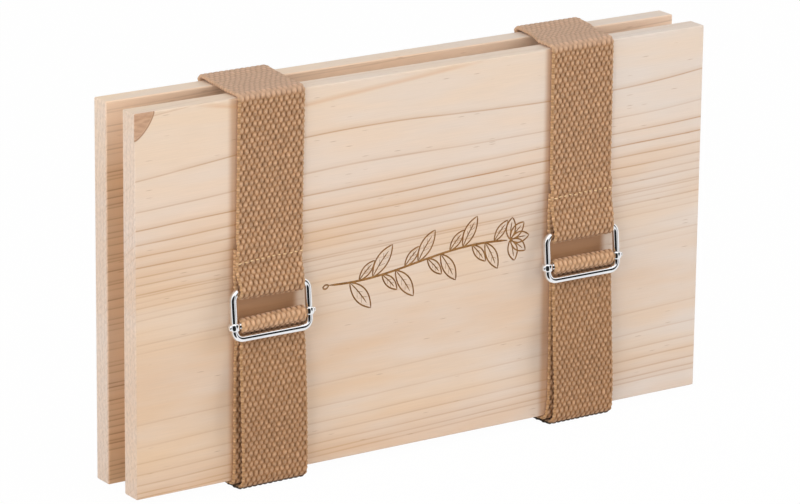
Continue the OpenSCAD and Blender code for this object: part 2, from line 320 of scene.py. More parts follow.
around = ((-1, -1), (1, -1), (1, 1), (-1, 1))
corners = [(x * FLOOR_HALF, y * FLOOR_HALF, 0.0) for x, y in around]
flat_sheet = bpy.data.meshes.new("floor")
flat_sheet.from_pydata(corners, [], [(0, 1, 2, 3)])
floor = link("floor", flat_sheet)
paper = bpy.data.materials.new("matt white background paper")
paper.use_nodes = True
sheet = paper.node_tree
sheet.nodes.clear()
ray = add(sheet, "ShaderNodeLightPath", out=None)
matt = add(sheet, "ShaderNodeBsdfDiffuse", linear("#f4f2ef"))
glow = add(sheet, "ShaderNodeEmission", linear("#ffffff"), 1.0)
share = add(sheet, MATH, ray.outputs["Is Camera Ray"], GLOW, operation="MULTIPLY")
both = add(sheet, "ShaderNodeMixShader", share, matt, glow)
add(sheet, "ShaderNodeOutputMaterial", both, out=None)
floor.data.materials.append(paper)
floor.visible_glossy = False
floor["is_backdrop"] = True
print("floor:", 2 * FLOOR_HALF, "m square")

# %% [markdown]
# ## Webbing
# The straps are cotton webbing, 30 mm wide, in a plain weave whose warp yarns
# crowd so close that only they show. Each yarn floats over one weft thread and
# dives under the next, and its neighbours do the opposite, so the face is a
# brickwork of small almond-shaped bumps. A bump map could draw it, but it would
# look flat on the bends and at the edges. The weave is a rule, so a tree of
# geometry nodes can make it for real: it sweeps a cross-section along the
# strap's path and lifts every point of the outer face by the height of the yarn
# there.

# %% Sizes of the press
BOARD_L, BOARD_H, BOARD_T, BOARD_R = 275 * MM, 157.5 * MM, 9.2 * MM, 1 * MM
HALF_GAP = 6.31 * MM
FACE_Y = HALF_GAP + BOARD_T
TOP_Z = BOARD_Z + BOARD_H
STRAP_W, STRAP_T, PLY_GAP = 30 * MM, 1.8 * MM, 0.15 * MM
WIRE_R, CORNER_R, FRAME_H = 1.5 * MM, 3.5 * MM, 19 * MM
BAR_R, BAR_RISE = 1.25 * MM, 5.8 * MM
SIDE_GAP, PINCH_GAP, LOOP_GAP = 1 * MM, 0.3 * MM, 0.1 * MM
SIDE_X = STRAP_W / 2 + SIDE_GAP + WIRE_R
FOLD_R = 2.7111 * MM        # from the top wire's axis to the webbing's middle
PINCH_R = WIRE_R + PINCH_GAP + STRAP_T / 2
LOOP_R = BAR_R + LOOP_GAP + STRAP_T / 2


def ply(n):
    """Distance of webbing layer n from the wood, to the layer's middle."""
    return n * (STRAP_T + PLY_GAP) - STRAP_T / 2


TOP_WIRE_OUT = ply(1) + FOLD_R
LOW_WIRE_OUT = ply(2) + PINCH_R
LEAN = asin((LOW_WIRE_OUT - TOP_WIRE_OUT) / FRAME_H)
BAR_OUT = LOW_WIRE_OUT - BAR_RISE * sin(LEAN)
print("frame leans", round(degrees(LEAN), 2), "degrees")

# %% Places of the straps and their seams
FOOT_Z = BOARD_Z + 8 * MM
TAIL_TOP_Z = BOARD_Z + 110 * MM
HEM_Z = TAIL_TOP_Z - 18 * MM
SEAM = 0.8 * MM
FOOT_SLACK = 1.5 * MM
# Place of each strap, height of its buckle, of its stitches above that and of
# the end of the turned-back webbing above them
STRAPS = {"left": (-78 * MM, 79.8 * MM, 11.3 * MM, 5.3 * MM),
          "right": (73.5 * MM, 79.5 * MM, 15.6 * MM, 1.6 * MM)}
# How much wider each band is than STRAP_W, below its buckle and above it
SPREAD = {"left": (0.028, 0.028), "right": (0.0, 0.028)}
# The left bar sits askew in its frame, and the fold above it a little the other
# way. These are their slopes
ASKEW = {"left": (0.04, -0.02), "right": (0.0, 0.0)}
print("straps at x, mm:", [round(x / MM, 1) for x, *_ in STRAPS.values()])

# %% [markdown]
# The height of the yarns is one formula. Along each yarn the height swings like
# a cosine. Across it the yarn is plump on top and steep at its flanks, so that
# the gaps stay narrow. Two families of yarns, half a step apart both ways, take
# turns: the higher one is what the eye sees. A little noise in the steps keeps
# the rows from looking machined.

# %% The weave's formula as nodes
WARP_PITCH, WEFT_PITCH = 1.18 * MM, 2.15 * MM
SWING, BOW = 0.25 * MM, 0.4 * MM    # the yarns' rise and fall, and their roundness
# Parts of the bow that fall off with the square of the distance from the yarn's
# middle and with its fourth power
SOFT_FALL, STEEP_FALL = 0.4 * 6.7, 2.4 * 6.7
# Every yarn has its own luck: the least part of the swing, and what luck adds
LEAST_SWING, LUCKY_SWING = 0.85, 0.3
# How far a noise moves the yarns, in steps across and along. It turns every 4 mm
WANDER_ACROSS, WANDER_ALONG, WANDER_SCALE = 0.24, 0.3, 260.0


def weave(tree, across, along):
    """Height of the face, from two lengths in metres. Its range is about
    minus BOW to SWING."""
    place = add(tree, COMBINE, across, along)
    wander = add(tree, NOISE, noise_dimensions="2D", out="Color",
                 named={"Vector": place, "Scale": WANDER_SCALE, "Detail": 1.0})
    shift = add(tree, VECTOR, wander, (0.5, 0.5, 0.5), operation="SUBTRACT")
    parts = add(tree, SEPARATE, shift, out=None).outputs
    heights = []
    for half in (0.0, 0.5):
        off, steps = [], []
        for length, pitch, part, amount in (
            (across, WARP_PITCH, parts["X"], WANDER_ACROSS),
            (along, WEFT_PITCH, parts["Y"], WANDER_ALONG),
        ):
            turns = add(tree, MATH, length, 0.5 / pitch, half, operation="MULTIPLY_ADD")
            loose = add(tree, MATH, part, amount, turns, operation="MULTIPLY_ADD")
            off.append(add(tree, MATH, loose, 0.5, -0.5, operation="WRAP"))
            steps.append(add(tree, MATH, loose, off[-1], operation="SUBTRACT"))
        yarn = add(tree, COMBINE, *steps, half)
        luck = add(tree, "ShaderNodeTexWhiteNoise", yarn, noise_dimensions="3D", out="Value")
        plump = add(tree, MATH, luck, LUCKY_SWING * SWING, LEAST_SWING * SWING,
                    operation="MULTIPLY_ADD")
        side = add(tree, MATH, off[0], off[0], operation="MULTIPLY")
        flank = add(tree, MATH, side, side, operation="MULTIPLY")
        flank = add(tree, MATH, flank, STEEP_FALL * BOW, operation="MULTIPLY")
        fall = add(tree, MATH, side, SOFT_FALL * BOW, flank, operation="MULTIPLY_ADD")
        angle = add(tree, MATH, off[1], 2 * pi, operation="MULTIPLY")
        swinging = add(tree, MATH, angle, operation="COSINE")
        rise = add(tree, MATH, swinging, plump, operation="MULTIPLY")
        heights.append(add(tree, MATH, rise, fall, operation="SUBTRACT"))
    return add(tree, MATH, *heights, operation="MAXIMUM")


print("yarns across a band:", round(STRAP_W / WARP_PITCH))

# %% The band's cross-section and its path
FACE_POINTS, EDGE_POINTS, BACK_POINTS = 105, 7, 13
PROFILE_POINTS = FACE_POINTS + BACK_POINTS + 2 * (EDGE_POINTS - 1)
ROW_STEP = 0.46 * MM


def note(tree, geometry, values):
    """Notes values on the geometry's points, for a later node to read."""
    made = add(tree, "GeometryNodeCaptureAttribute", geometry, out=None)
    for kind, label, value in values:
        made.capture_items.new(kind, label)
        tree.links.new(value, made.inputs[label])
    return made.outputs


def band_section(tree, flat, half_t):
    """The cross-section: the face, one round edge, the back, the other edge.
    Its points know their sideways place, how far they face out, and how far
    they lie on a round edge."""
    index = add(tree, "GeometryNodeInputIndex")
    stops = [0, FACE_POINTS - 1, FACE_POINTS + EDGE_POINTS - 2]
    stops += [stops[2] + BACK_POINTS - 1, stops[2] + BACK_POINTS + EDGE_POINTS - 2]
    shares = [add(tree, RANGE, index, a, b) for a, b in zip(stops, stops[1:])]
    walked = add(tree, MATH, shares[2], shares[0], operation="SUBTRACT")
    from_middle = add(tree, MATH, walked, 0.5, operation="ADD")
    x_flat = add(tree, MATH, from_middle, flat, operation="MULTIPLY")
    turns = [add(tree, MATH, share, pi, operation="MULTIPLY") for share in shares[1::2]]
    sines = [add(tree, MATH, turn, operation="SINE") for turn in turns]
    edge = add(tree, MATH, sines[1], sines[0], operation="SUBTRACT")
    x_place = add(tree, MATH, edge, half_t, x_flat, operation="MULTIPLY_ADD")
    turned = add(tree, MATH, *turns, operation="ADD")
    side = add(tree, MATH, turned, operation="COSINE")
    ring = add(tree, "GeometryNodeCurvePrimitiveCircle", PROFILE_POINTS)
    return note(tree, ring, (("FLOAT", "x", x_place), ("FLOAT", "side", side),
                             ("FLOAT", "edge", edge)))


def band_path(tree, line, step):
    """The path, cut into equal steps, with its place and direction noted."""
    path = add(tree, "GeometryNodeMeshToCurve", line)
    stepped = add(tree, "GeometryNodeResampleCurve", path, mode="LENGTH",
                  named={"Length": step})
    return note(tree, stepped, (
        ("VECTOR", "place", add(tree, "GeometryNodeInputPosition")),
        ("VECTOR", "tangent", add(tree, "GeometryNodeInputTangent")),
        ("FLOAT", "gone", add(tree, "GeometryNodeSplineParameter", out="Length")),
    ))


print("points round a band:", PROFILE_POINTS)

# %% The webbing's tree
# Over the boards' top edge the yarns are pressed flatter, from 5 mm below it
PRESSED_FROM, PRESSED_TO, PRESSED = -5 * MM, 0.8 * MM, 0.45
EDGE_SWELL = 0.2 * MM       # how far the weft's loops stand out of the edges
DEEPEST = -2.1 * SWING      # the gaps between the yarns, below their tops


def lift_yarns(tree, trail, section, half_t, given):
    """Where each point of the band goes, and what its finish reads: how far it
    lies along and across the band, and how high on its yarn."""
    x_place, side, edge = (section[k] for k in ("x", "side", "edge"))
    along = add(tree, MATH, trail["gone"], given["Yarn start"], operation="ADD")
    columns = add(tree, MATH, x_place, WARP_PITCH / 2, operation="ADD")
    yarn = add(tree, MATH, weave(tree, columns, along), SWING, operation="SUBTRACT")
    face = add(tree, MATH, side, 0.0, operation="MAXIMUM")
    height = add(tree, SEPARATE, trail["place"], out="Z")
    above = add(tree, MATH, height, given["Flat above"], operation="SUBTRACT")
    pressed = add(tree, RANGE, above, PRESSED_FROM, PRESSED_TO, 1.0, PRESSED)
    relief = add(tree, MATH, pressed, given["Relief"], operation="MULTIPLY")
    lifted = add(tree, MATH, yarn, relief, operation="MULTIPLY")
    plain = add(tree, MATH, side, half_t, operation="MULTIPLY")
    out = add(tree, MATH, lifted, face, plain, operation="MULTIPLY_ADD")
    picks = add(tree, MATH, along, 2 * pi / WEFT_PITCH, operation="MULTIPLY")
    loop = add(tree, MATH, picks, operation="COSINE")
    swell = add(tree, MATH, loop, edge, operation="MULTIPLY")
    wide = add(tree, MATH, swell, EDGE_SWELL, x_place, operation="MULTIPLY_ADD")
    normal = add(tree, VECTOR, trail["tangent"], (1.0, 0.0, 0.0), operation="CROSS_PRODUCT")
    normal = add(tree, VECTOR, normal, operation="NORMALIZE")
    away = add(tree, VECTOR, normal, named={"Scale": out}, operation="SCALE")
    place = add(tree, VECTOR, trail["place"], add(tree, COMBINE, wide), operation="ADD")
    place = add(tree, VECTOR, place, away, operation="ADD")
    crown = add(tree, RANGE, yarn, DEEPEST, 0.0)
    # Painted light and shade: on the edges and the back, the crown follows the weft's loops,
    # paler and darker by turns
    loop_light_and_shade = add(tree, RANGE, loop, -1.0, 1.0, 0.3, 1.0)
    shown = add(tree, MIX, face, None, loop_light_and_shade, crown)
    return place, (("along", along), ("across", x_place), ("crown", shown))


def webbing_tree(material):
    """Sweeps the woven cross-section along a path that has a sideways place."""
    tree, start = new_tree("woven webbing", [
        ("Width", "NodeSocketFloat", STRAP_W),
        ("Thickness", "NodeSocketFloat", STRAP_T),
        ("Row step", "NodeSocketFloat", ROW_STEP),
        ("Relief", "NodeSocketFloat", 1.0),
        ("Yarn start", "NodeSocketFloat", 0.0),
        ("Flat above", "NodeSocketFloat", TOP_Z),
    ])
    given = start.outputs
    half_t = add(tree, MATH, given["Thickness"], 0.5, operation="MULTIPLY")
    flat = add(tree, MATH, given["Width"], given["Thickness"], operation="SUBTRACT")
    section = band_section(tree, flat, half_t)
    trail = band_path(tree, given["Geometry"], given["Row step"])
    woven = add(tree, "GeometryNodeCurveToMesh", trail[0], section[0],
                named={"Fill Caps": True})
    place, values = lift_yarns(tree, trail, section, half_t, given)
    woven = add(tree, "GeometryNodeSetPosition", woven, named={"Position": place})
    for label, value in values:
        woven = add(tree, "GeometryNodeStoreNamedAttribute", woven,
                    named={"Name": label, "Value": value})
    end_tree(tree, woven, material)
    return tree


# %% [markdown]
# The finish of the webbing: undyed tan cotton, dull, with no shine of its own.
# The tops of the yarns are pale and the gaps between them are dark, which is
# what makes the weave read from a distance: a little of that is wear on the
# tops, and most is painted light and shade of the weave's relief. The finish
# could be one even tan, but use leaves marks, and those are drawn as coats over
# it, with painted light and shade among them. The loops over the bars rub most,
# so they are paler. The turned edges get a painted highlight and the run over
# the top of the boards painted light. The bands below the buckles get painted
# shade that grows towards the bottom, and the lowest part of the layer that the
# press stands on a painted contact shadow, near black.

# %% A material to fill
def finish(name):
    """A new material with its tree and its main shader."""
    made = bpy.data.materials.new(name)
    made.use_nodes = True
    tree = made.node_tree
    tree.nodes.clear()
    shader = add(tree, "ShaderNodeBsdfPrincipled", out=None)
    add(tree, "ShaderNodeOutputMaterial", shader.outputs[0], out=None)
    print("finish:", name)
    return made, tree, shader


# %% Colour of the yarns
EDGE_FROM, EDGE_TO = STRAP_W / 2 - 1.0 * MM, STRAP_W / 2 - 0.4 * MM
ROPE_STEP = 1.1 * MM        # at the edges the weft turns back this often
MOTTLE = 420.0              # per metre: the tan is uneven every 2.4 mm or so

cotton, tree, shader = finish("woven tan cotton webbing")
crown, along, aside = (
    add(tree, "ShaderNodeAttribute", attribute_name=label, out="Fac")
    for label in ("crown", "along", "across")
)
place = add(tree, COMBINE, aside, along)
# Painted light and shade of the weave: the yarns' tops are pale and the gaps between them dark,
# with a little wear on the tops
yarns = add(tree, RAMP, crown,
            stops=[(0.0, "#553319"), (0.23, "#835a39"), (0.5, "#aa805c"), (1.0, "#caa485")])
patch = add(tree, NOISE, noise_dimensions="2D", out="Fac",
            named={"Vector": place, "Scale": MOTTLE, "Detail": 4.0, "Roughness": 0.85})
shade = add(tree, RANGE, patch, 0.3, 0.7, 0.7, 1.3)
from_middle = add(tree, MATH, aside, operation="ABSOLUTE")
turned_edge = add(tree, RANGE, from_middle, EDGE_FROM, EDGE_TO)
# Painted light and shade of the weft's loops on the turned edges, lighter and darker by turns
# along them
turns = add(tree, MATH, along, 2 * pi / ROPE_STEP, operation="MULTIPLY")
rope = add(tree, MATH, turns, operation="SINE")
rope = add(tree, MATH, rope, turned_edge, operation="MULTIPLY")
shade = add(tree, MATH, rope, 0.25, shade, operation="MULTIPLY_ADD")
cloth = add(tree, VECTOR, yarns, named={"Scale": shade}, operation="SCALE")
# Painted highlight: the turned edges are mixed towards a pale gold, where their round sides catch
# the light
edge_highlight = add(tree, MATH, turned_edge, 0.35, operation="MULTIPLY")
cloth = add(tree, MIX, named={SHARE: edge_highlight, UNDER: cloth, OVER: linear("#d6ae80")}, **COLOUR)
print("edge rope every", round(ROPE_STEP / MM, 1), "mm")

# %% Coats of wear, painted light and painted shade on it
# Painted light: the run over the boards' top edge faces up and is made paler, from 1.5 mm below
# the top
TOP_RUN_LIT = (TOP_Z - 1.5 * MM, TOP_Z + 1.2 * MM)
BAR_Y = CENTRE_Y - FACE_Y - BAR_OUT
# Heights between which the loops lie, each with 2 mm to fade in
LOW_WIRE_END = (BOARD_Z + 59 * MM, BOARD_Z + 61 * MM)
FOLD_END = (BOARD_Z + 71 * MM, BOARD_Z + 73 * MM)
# Painted shade, full below the first height and gone at the second: the bands are darker towards
# the bottom
LOW_SHADE_Z = (BOARD_Z + 45 * MM, BOARD_Z + 75 * MM)
# Painted contact shadow: heights above the floor below which the webbing is near black, fading
# out by the second
CONTACT_SHADOW_Z = (1.2 * MM, 2.0 * MM)

spot = add(tree, SEPARATE, add(tree, "ShaderNodeTexCoord", out="Object"), out=None).outputs
height = spot["Z"]
top_run_light = add(tree, RANGE, height, *TOP_RUN_LIT, 0.0, 0.52)
over_bar = add(tree, RANGE, spot["Y"], BAR_Y - LOOP_R, BAR_Y + LOOP_R, 0.2, 0.0)
below_fold = add(tree, RANGE, height, *FOLD_END, 1.0, 0.0)
over_bar = add(tree, MATH, over_bar, below_fold, operation="MULTIPLY")
above_low_wire = add(tree, RANGE, height, *LOW_WIRE_END)
over_bar = add(tree, MATH, over_bar, above_low_wire, operation="MULTIPLY")
# Painted light on the top run, and wear on the loops over the bars
for share, colour in ((top_run_light, "#dcbaa2"), (over_bar, "#dcb795")):
    cloth = add(tree, MIX, named={SHARE: share, UNDER: cloth, OVER: linear(colour)}, **COLOUR)
lighter = add(tree, MATH, over_bar, 0.9, 1.0, operation="MULTIPLY_ADD")
cloth = add(tree, VECTOR, cloth, named={"Scale": lighter}, operation="SCALE")
# Painted shade, darker towards the bottom of the bands
low_painted_shade = add(tree, RANGE, height, *LOW_SHADE_Z, 0.2, 0.0)
# Painted contact shadow, near black, along the bottom of the layer that the press stands on
contact_shadow = add(tree, RANGE, height, *CONTACT_SHADOW_Z, 0.97, 0.0)
for share, colour in ((low_painted_shade, "#8a5f33"), (contact_shadow, "#1e150e")):
    cloth = add(tree, MIX, named={SHARE: share, UNDER: cloth, OVER: linear(colour)}, **COLOUR)
tree.links.new(cloth, shader.inputs["Base Color"])
print("loops worn between z =", [round(z / MM, 1) for z in LOW_WIRE_END + FOLD_END], "mm")

# %% Feel of the cotton
PLY_ACROSS, PLY_ALONG = 0.62 * MM, 0.95 * MM    # the plies cross their yarn aslant
# Per metre. Cotton fibres are about 0.02 mm thick. These are 0.3 mm, to show
FIBRES = (3200.0, 1100.0, 1.0)

for label, value in (("Roughness", 0.92), ("IOR", 1.45), ("Sheen Weight", 0.12),
                     ("Sheen Roughness", 0.5)):
    shader.inputs[label].default_value = value
fibres = add(tree, VECTOR, place, FIBRES, operation="MULTIPLY")
fibre = add(tree, NOISE, noise_dimensions="2D", out="Fac",
            named={"Vector": fibres, "Scale": 1.0, "Detail": 1.0})
aslant = add(tree, VECTOR, place, (2 * pi / PLY_ACROSS, 2 * pi / PLY_ALONG, 0.0),
             operation="DOT_PRODUCT", out="Value")
plies = add(tree, MATH, aslant, operation="SINE")
plies = add(tree, MATH, plies, 0.35, fibre, operation="MULTIPLY_ADD")
bump = add(tree, "ShaderNodeBump", out="Normal",
           named={"Strength": 0.7, "Distance": 0.15 * MM, "Height": plies})
tree.links.new(bump, shader.inputs["Normal"])
WEBBING = webbing_tree(cotton)

# %% [markdown]
# ## Where the straps run
# Each strap is one band, and its path is a flat line of places: how far out
# from the middle of the gap, how high, and how far it has strayed sideways. The
# lines could be drawn as Bezier curves, but bends round a known centre and
# smooth steps follow a change of size. The band is cut at the same seams as the
# solids, because the boards, the buckle and the bar move apart there. The yarns
# carry on across each seam.

# %% Bends, steps and bows
def bend(centre, r, start, end):
    """Points on a bend, from one angle to another in degrees, one about every
    5 degrees."""
    n = max(1, ceil(abs(end - start) / 5))
    angles = [radians(start + (end - start) * i / n) for i in range(n + 1)]
    return [(centre[0] + r * cos(a), centre[1] + r * sin(a)) for a in angles]


def ease(a, b, n=24):
    """Points on a smooth step from a to b, upright at both ends."""
    return [(a[0] + (b[0] - a[0]) * (1 - cos(pi * t)) / 2, a[1] + (b[1] - a[1]) * t)
            for t in (i / n for i in range(n + 1))]


def ease_level(a, b):
    """Points on a smooth step from a to b, level at both ends."""
    return [(z, out) for out, z in ease(a[::-1], b[::-1], 8)][1:]


def smooth(t):
    """A share from 0 to 1 that starts and ends gently."""
    return t * t * (3 - 2 * t)


def bowed(out, top, low, bow, slack, n=48):
    """Points down an upright run that bows out in its middle and ends off the
    board by the slack."""
    return [(out + bow * sin(pi * t) ** 2 + slack * smooth(t), top + (low - top) * t)
            for t in (i / n for i in range(n + 1))]


print("half way down a smooth step:", ease((0, 0), (1, 1))[12])

# %% Over and under a board
def over_board(n, hump=0.0):
    """Layer n from the outer face of a board over its top edge to the gap. Hump
    is how far the stiff webbing arches off that edge."""
    edge = (FACE_Y - BOARD_R, TOP_Z - BOARD_R)
    corner = bend(edge, BOARD_R + ply(n), 0, 90)
    angles = [radians(90 * i / (len(corner) - 1)) for i in range(len(corner))]
    arch = [(out + hump * max(0, sin(2 * a)), z + hump * sin(a))
            for (out, z), a in zip(corner, angles)]
    return arch + ease_level(arch[-1], (HALF_GAP, TOP_Z + ply(n)))


def under_board(n, slack=0.0, r=0.0):
    """Layer n from the gap under a board and round to its outer face. Slack is
    how far it stands off there, and r the radius of a bend of its own."""
    r = r or BOARD_R + ply(n)
    centre = (FACE_Y + ply(n) + slack - r, BOARD_Z - ply(n) + r)
    return [(HALF_GAP, BOARD_Z - ply(n))] + bend(centre, r, -90, 0)


print("points over a board:", len(over_board(1)), "and under it:", len(under_board(1)))

# %% The paths of one strap
FOOT_BEND_R = 4.2 * MM      # the outer band's own bend under the front board
LOW_BOW = 2.6 * MM          # how far the band bows out below its buckle
REAR_HUMP = 0.7 * MM
FOLD_STEP = 6 * MM          # height in which a fold's second layer steps out


def strap_paths(buckle_h, stitch_h, end_h):
    """Every path of a strap, as (out, z) points, and the places on it."""
    wire_z = BOARD_Z + buckle_h
    low_z = wire_z - FRAME_H * cos(LEAN)
    wire = (FACE_Y + TOP_WIRE_OUT, wire_z)
    low_wire = (FACE_Y + LOW_WIRE_OUT, low_z)
    bar = (FACE_Y + BAR_OUT, low_z + BAR_RISE * cos(LEAN))
    run, rise = low_wire[0] - bar[0], low_wire[1] - bar[1]
    leaving = degrees(atan2(rise, run) + acos((LOOP_R + PINCH_R) / hypot(run, rise)))
    seam_z = low_z - SEAM
    stitch_z = wire_z + stitch_h
    return_z = stitch_z + end_h
    one, two = FACE_Y + ply(1), FACE_Y + ply(2)
    turn_r = (ply(3) - ply(2)) / 2
    turn = (two + turn_r, TAIL_TOP_Z - turn_r - STRAP_T / 2)
    return {
        "inner_run": [(one, seam_z), (one, FOOT_Z)],
        "inner_foot": [(one, FOOT_Z)] + under_board(1)[::-1],
        "inner_span": [(-HALF_GAP, BOARD_Z - ply(1)), (HALF_GAP, BOARD_Z - ply(1))],
        "rear": under_board(1) + over_board(1, REAR_HUMP),
        "top_span": [(HALF_GAP, TOP_Z + ply(1)), (-HALF_GAP, TOP_Z + ply(1))],
        "front_top": over_board(1)[::-1]
        + ease((one, return_z + FOLD_STEP), (two, return_z))
        + ease((two, stitch_z), (wire[0] + FOLD_R, wire_z))
        + bend(wire, FOLD_R, 0, -180)
        + [(one, return_z)],
        "loop": [(one, seam_z)]
        + ease((one, low_z), (bar[0] - LOOP_R, bar[1]))
        + bend(bar, LOOP_R, 180, leaving)
        + bend(low_wire, PINCH_R, leaving + 180, 180)
        + [(two, seam_z)],
        "outer_run": [(two, seam_z)]
        + bowed(two, seam_z - SEAM, FOOT_Z + SEAM, LOW_BOW, FOOT_SLACK)
        + [(two + FOOT_SLACK, FOOT_Z)],
        "outer_foot": [(two + FOOT_SLACK, FOOT_Z)]
        + under_board(2, FOOT_SLACK, FOOT_BEND_R)[::-1],
        "outer_span": [(-HALF_GAP, BOARD_Z - ply(2)), (HALF_GAP, BOARD_Z - ply(2))],
        "rear_foot": under_board(2) + [(two, FOOT_Z)],
        "tail": [(two, FOOT_Z), (two, HEM_Z)],
        "hem": [(turn[0] + turn_r, HEM_Z)] + bend(turn, turn_r, 0, 180) + [(two, HEM_Z)],
        "wire": wire, "low_wire": low_wire, "bar": bar, "stitch_z": stitch_z,
    }


PATHS = {name: strap_paths(*heights) for name, (_, *heights) in STRAPS.items()}
print("stitches at z, mm:", [round(paths["stitch_z"] / MM, 1) for paths in PATHS.values()])

# %% [markdown]
# A hand-tied strap is never quite straight. It strays a few millimetres
# sideways, it leans with a bar that sits askew, and it is wider where nothing
# squeezes it. The path could carry all that, but it is easier to weave the band
# first and then to move its points a little.

# %% Weave one length of a strap
NOT_PAST = 0.99999          # keeps the last point before the end of its drift
SNUG = 0.9999               # makes the rows a hair shorter, so that the last one fits


def weave_length(name, x, path, side, drift, start, relief):
    """Webbing along a path of (out, z) points. Side is 1 behind and -1 in
    front. Drift lists the sideways stray in mm at even steps of the path."""
    points, gone = [], [0.0]
    for a, b in zip(path, path[1:]):
        gone.append(gone[-1] + hypot(b[0] - a[0], b[1] - a[1]))
    for (out, z), g in zip(path, gone):
        step, share = divmod(g / gone[-1] * (len(drift) - 1) * NOT_PAST, 1)
        before, after = drift[int(step)], drift[int(step) + 1]
        stray = before + (after - before) * smooth(share)
        points.append((x + stray * MM, CENTRE_Y + side * out, z))
    rows = max(2, round(gone[-1] / ROW_STEP))
    mesh = settle(polyline(name, points), WEBBING, Row_step=gone[-1] / rows * SNUG,
                  Yarn_start=start, Relief=relief)
    for polygon in mesh.polygons:
        polygon.use_smooth = len(polygon.vertices) == 4
    return mesh, start + gone[-1]


def lean_over(mesh, x, slope, start, end):
    """Lifts the webbing on one side, more and more from height start to end."""
    for v in mesh.vertices:
        share = min(1, max(0, (v.co.z - start) / (end - start)))
        v.co.z += (v.co.x - x) * slope * smooth(share)


SQUEEZE_FADE, SOLE_FADE = 6 * MM, 8 * MM


def spread(mesh, x, below, above, low, high):
    """Widens the webbing below and above a buckle, whose side wires squeeze it
    from height low to height high. Near the floor it is as wide as above."""
    for v in mesh.vertices:
        share = min(1, max(0, low - v.co.z, v.co.z - high) / SQUEEZE_FADE)
        near_floor = max(0, 1 - v.co.z / SOLE_FADE)
        most = below + (above - below) * near_floor if v.co.z < low else above
        v.co.x = x + (v.co.x - x) * (1 + most * smooth(share))


# %% Order of the pieces, and how far each strays
# Piece, path and side of the press, for the inner band and the outer one
INNER = [
    ("strap_front_run", "inner_run", -1), ("strap_front_foot", "inner_foot", -1),
    ("strap_bottom_span", "inner_span", 1), ("strap_rear", "rear", 1),
    ("strap_top_span", "top_span", 1), ("strap_front_top", "front_top", -1),
]
OUTER = [
    ("strap_bar_loop", "loop", -1), ("strap_front_run", "outer_run", -1),
    ("strap_front_foot", "outer_foot", -1), ("strap_bottom_span", "outer_span", 1),
    ("strap_rear", "rear_foot", 1), ("tail_run", "tail", 1), ("tail_end", "hem", 1),
]
# Millimetres sideways at even steps of each path, for both straps and for each
STRAY = {
    "inner_span": (-0.9, -0.9), "outer_span": (1.6, 1.2), "rear_foot": (1.2, 0.9),
    "tail": (0.9, 0.9), "hem": (0.9, 0.9),
}
STRAYS = {
    "left": {
        "rear": (-0.9, 0.9, 3.0, 4.2), "top_span": (4.2, 2.4),
        "front_top": (2.4, 1.4, 1.7, -0.5, 0.1), "inner_run": (0.3, 0.0),
        "inner_foot": (0.0, -0.9), "loop": (0.3, -0.2, -0.2, 1.7),
        "outer_run": (1.7, 0.4, 2.0), "outer_foot": (2.0, 1.6),
    },
    "right": {
        "rear": (-0.9, 0.9, 3.6, 5.6), "top_span": (5.6, 1.2),
        "front_top": (1.2, 0.3, 1.4, -0.2, 0.6), "inner_run": (1.6, 1.8),
        "inner_foot": (1.8, -0.9), "loop": (1.6, -0.1, -0.2, 1.7),
        "outer_run": (1.7, 0.3, 2.8), "outer_foot": (2.8, 1.6),
    },
}
LOOP_RELIEF = 0.85          # bent tight round the bar, the yarns lie flatter
SQUEEZED_BELOW, SQUEEZED_ABOVE = 2 * MM, 1 * MM
NO_BUCKLE = (-1, -1)        # far under the floor, for the bands at the back


def weave_strap(name, x, paths):
    """The meshes of every piece of a strap, each with the length it took."""
    woven = {}
    squeezed = (paths["low_wire"][1] - SQUEEZED_BELOW, paths["wire"][1] + SQUEEZED_ABOVE)
    for band in (INNER, OUTER):
        start = 0.0
        for piece, key, side in band:
            drift = STRAYS[name].get(key) or STRAY[key]
            relief = LOOP_RELIEF if key == "loop" else 1.0
            before = start
            mesh, start = weave_length(piece, x, paths[key], side, drift, start, relief)
            if key == "loop":
                lean_over(mesh, x, ASKEW[name][0], paths["low_wire"][1], paths["bar"][1])
            elif key == "front_top":
                lean_over(mesh, x, ASKEW[name][1], paths["stitch_z"], paths["wire"][1])
            spread(mesh, x, *SPREAD[name], *(squeezed if side < 0 else NO_BUCKLE))
            woven.setdefault(piece, []).append((mesh, start - before))
    return woven


print("pieces in a strap:", len({piece for piece, *_ in INNER + OUTER}))

# %% [markdown]
# The tail of each strap rides on the rear board, and its hem on a body of its
# own. The other pieces of webbing stay where they are woven.


def carry(made, name, piece):
    """Puts the tail and its hem on the bodies that carry them, and leaves the other pieces of
    webbing where they are woven.
    """
    if piece == "tail_run":
        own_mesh(made)
        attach(made, "rear")
    elif piece == "tail_end":
        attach(made, f"{name}_tail_end")
    elif piece == "strap_bar_loop":
        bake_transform(made)
    elif piece == "strap_front_run":
        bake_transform(made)
    else:
        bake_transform(made)


for name, (x, *_) in STRAPS.items():
    for piece, parts in weave_strap(name, x, PATHS[name]).items():
        made = show(f"{name}_{piece}_webbing", *(mesh for mesh, _ in parts))
        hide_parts(f"{name}_{piece}")
        carry(made, name, piece)
        below, above = SPREAD[name]

# %% [markdown]
# ## Stitches
# The turned-back end is sewn down with one row of thick cotton thread, which
# comes round the left edge of the webbing. Each stitch is a short soft bead
# that lies in the weave. The beads could be placed by hand, but a tree sets one
# on each step of a line, and tilts and shifts it a little, because a stitch
# never lands quite straight.

# %% Stitch thread and tree
STITCH_STEP, STITCH_L, THREAD_D = 2.4 * MM, 1.7 * MM, 0.62 * MM
STITCH_SHIFT = 0.2 * MM
TILT_LEAST, TILT_MOST = (0.0, -0.1, -0.1), (0.0, 0.45, 0.25)    # radians
STRANDS = 2500.0            # per metre: strands of 0.4 mm

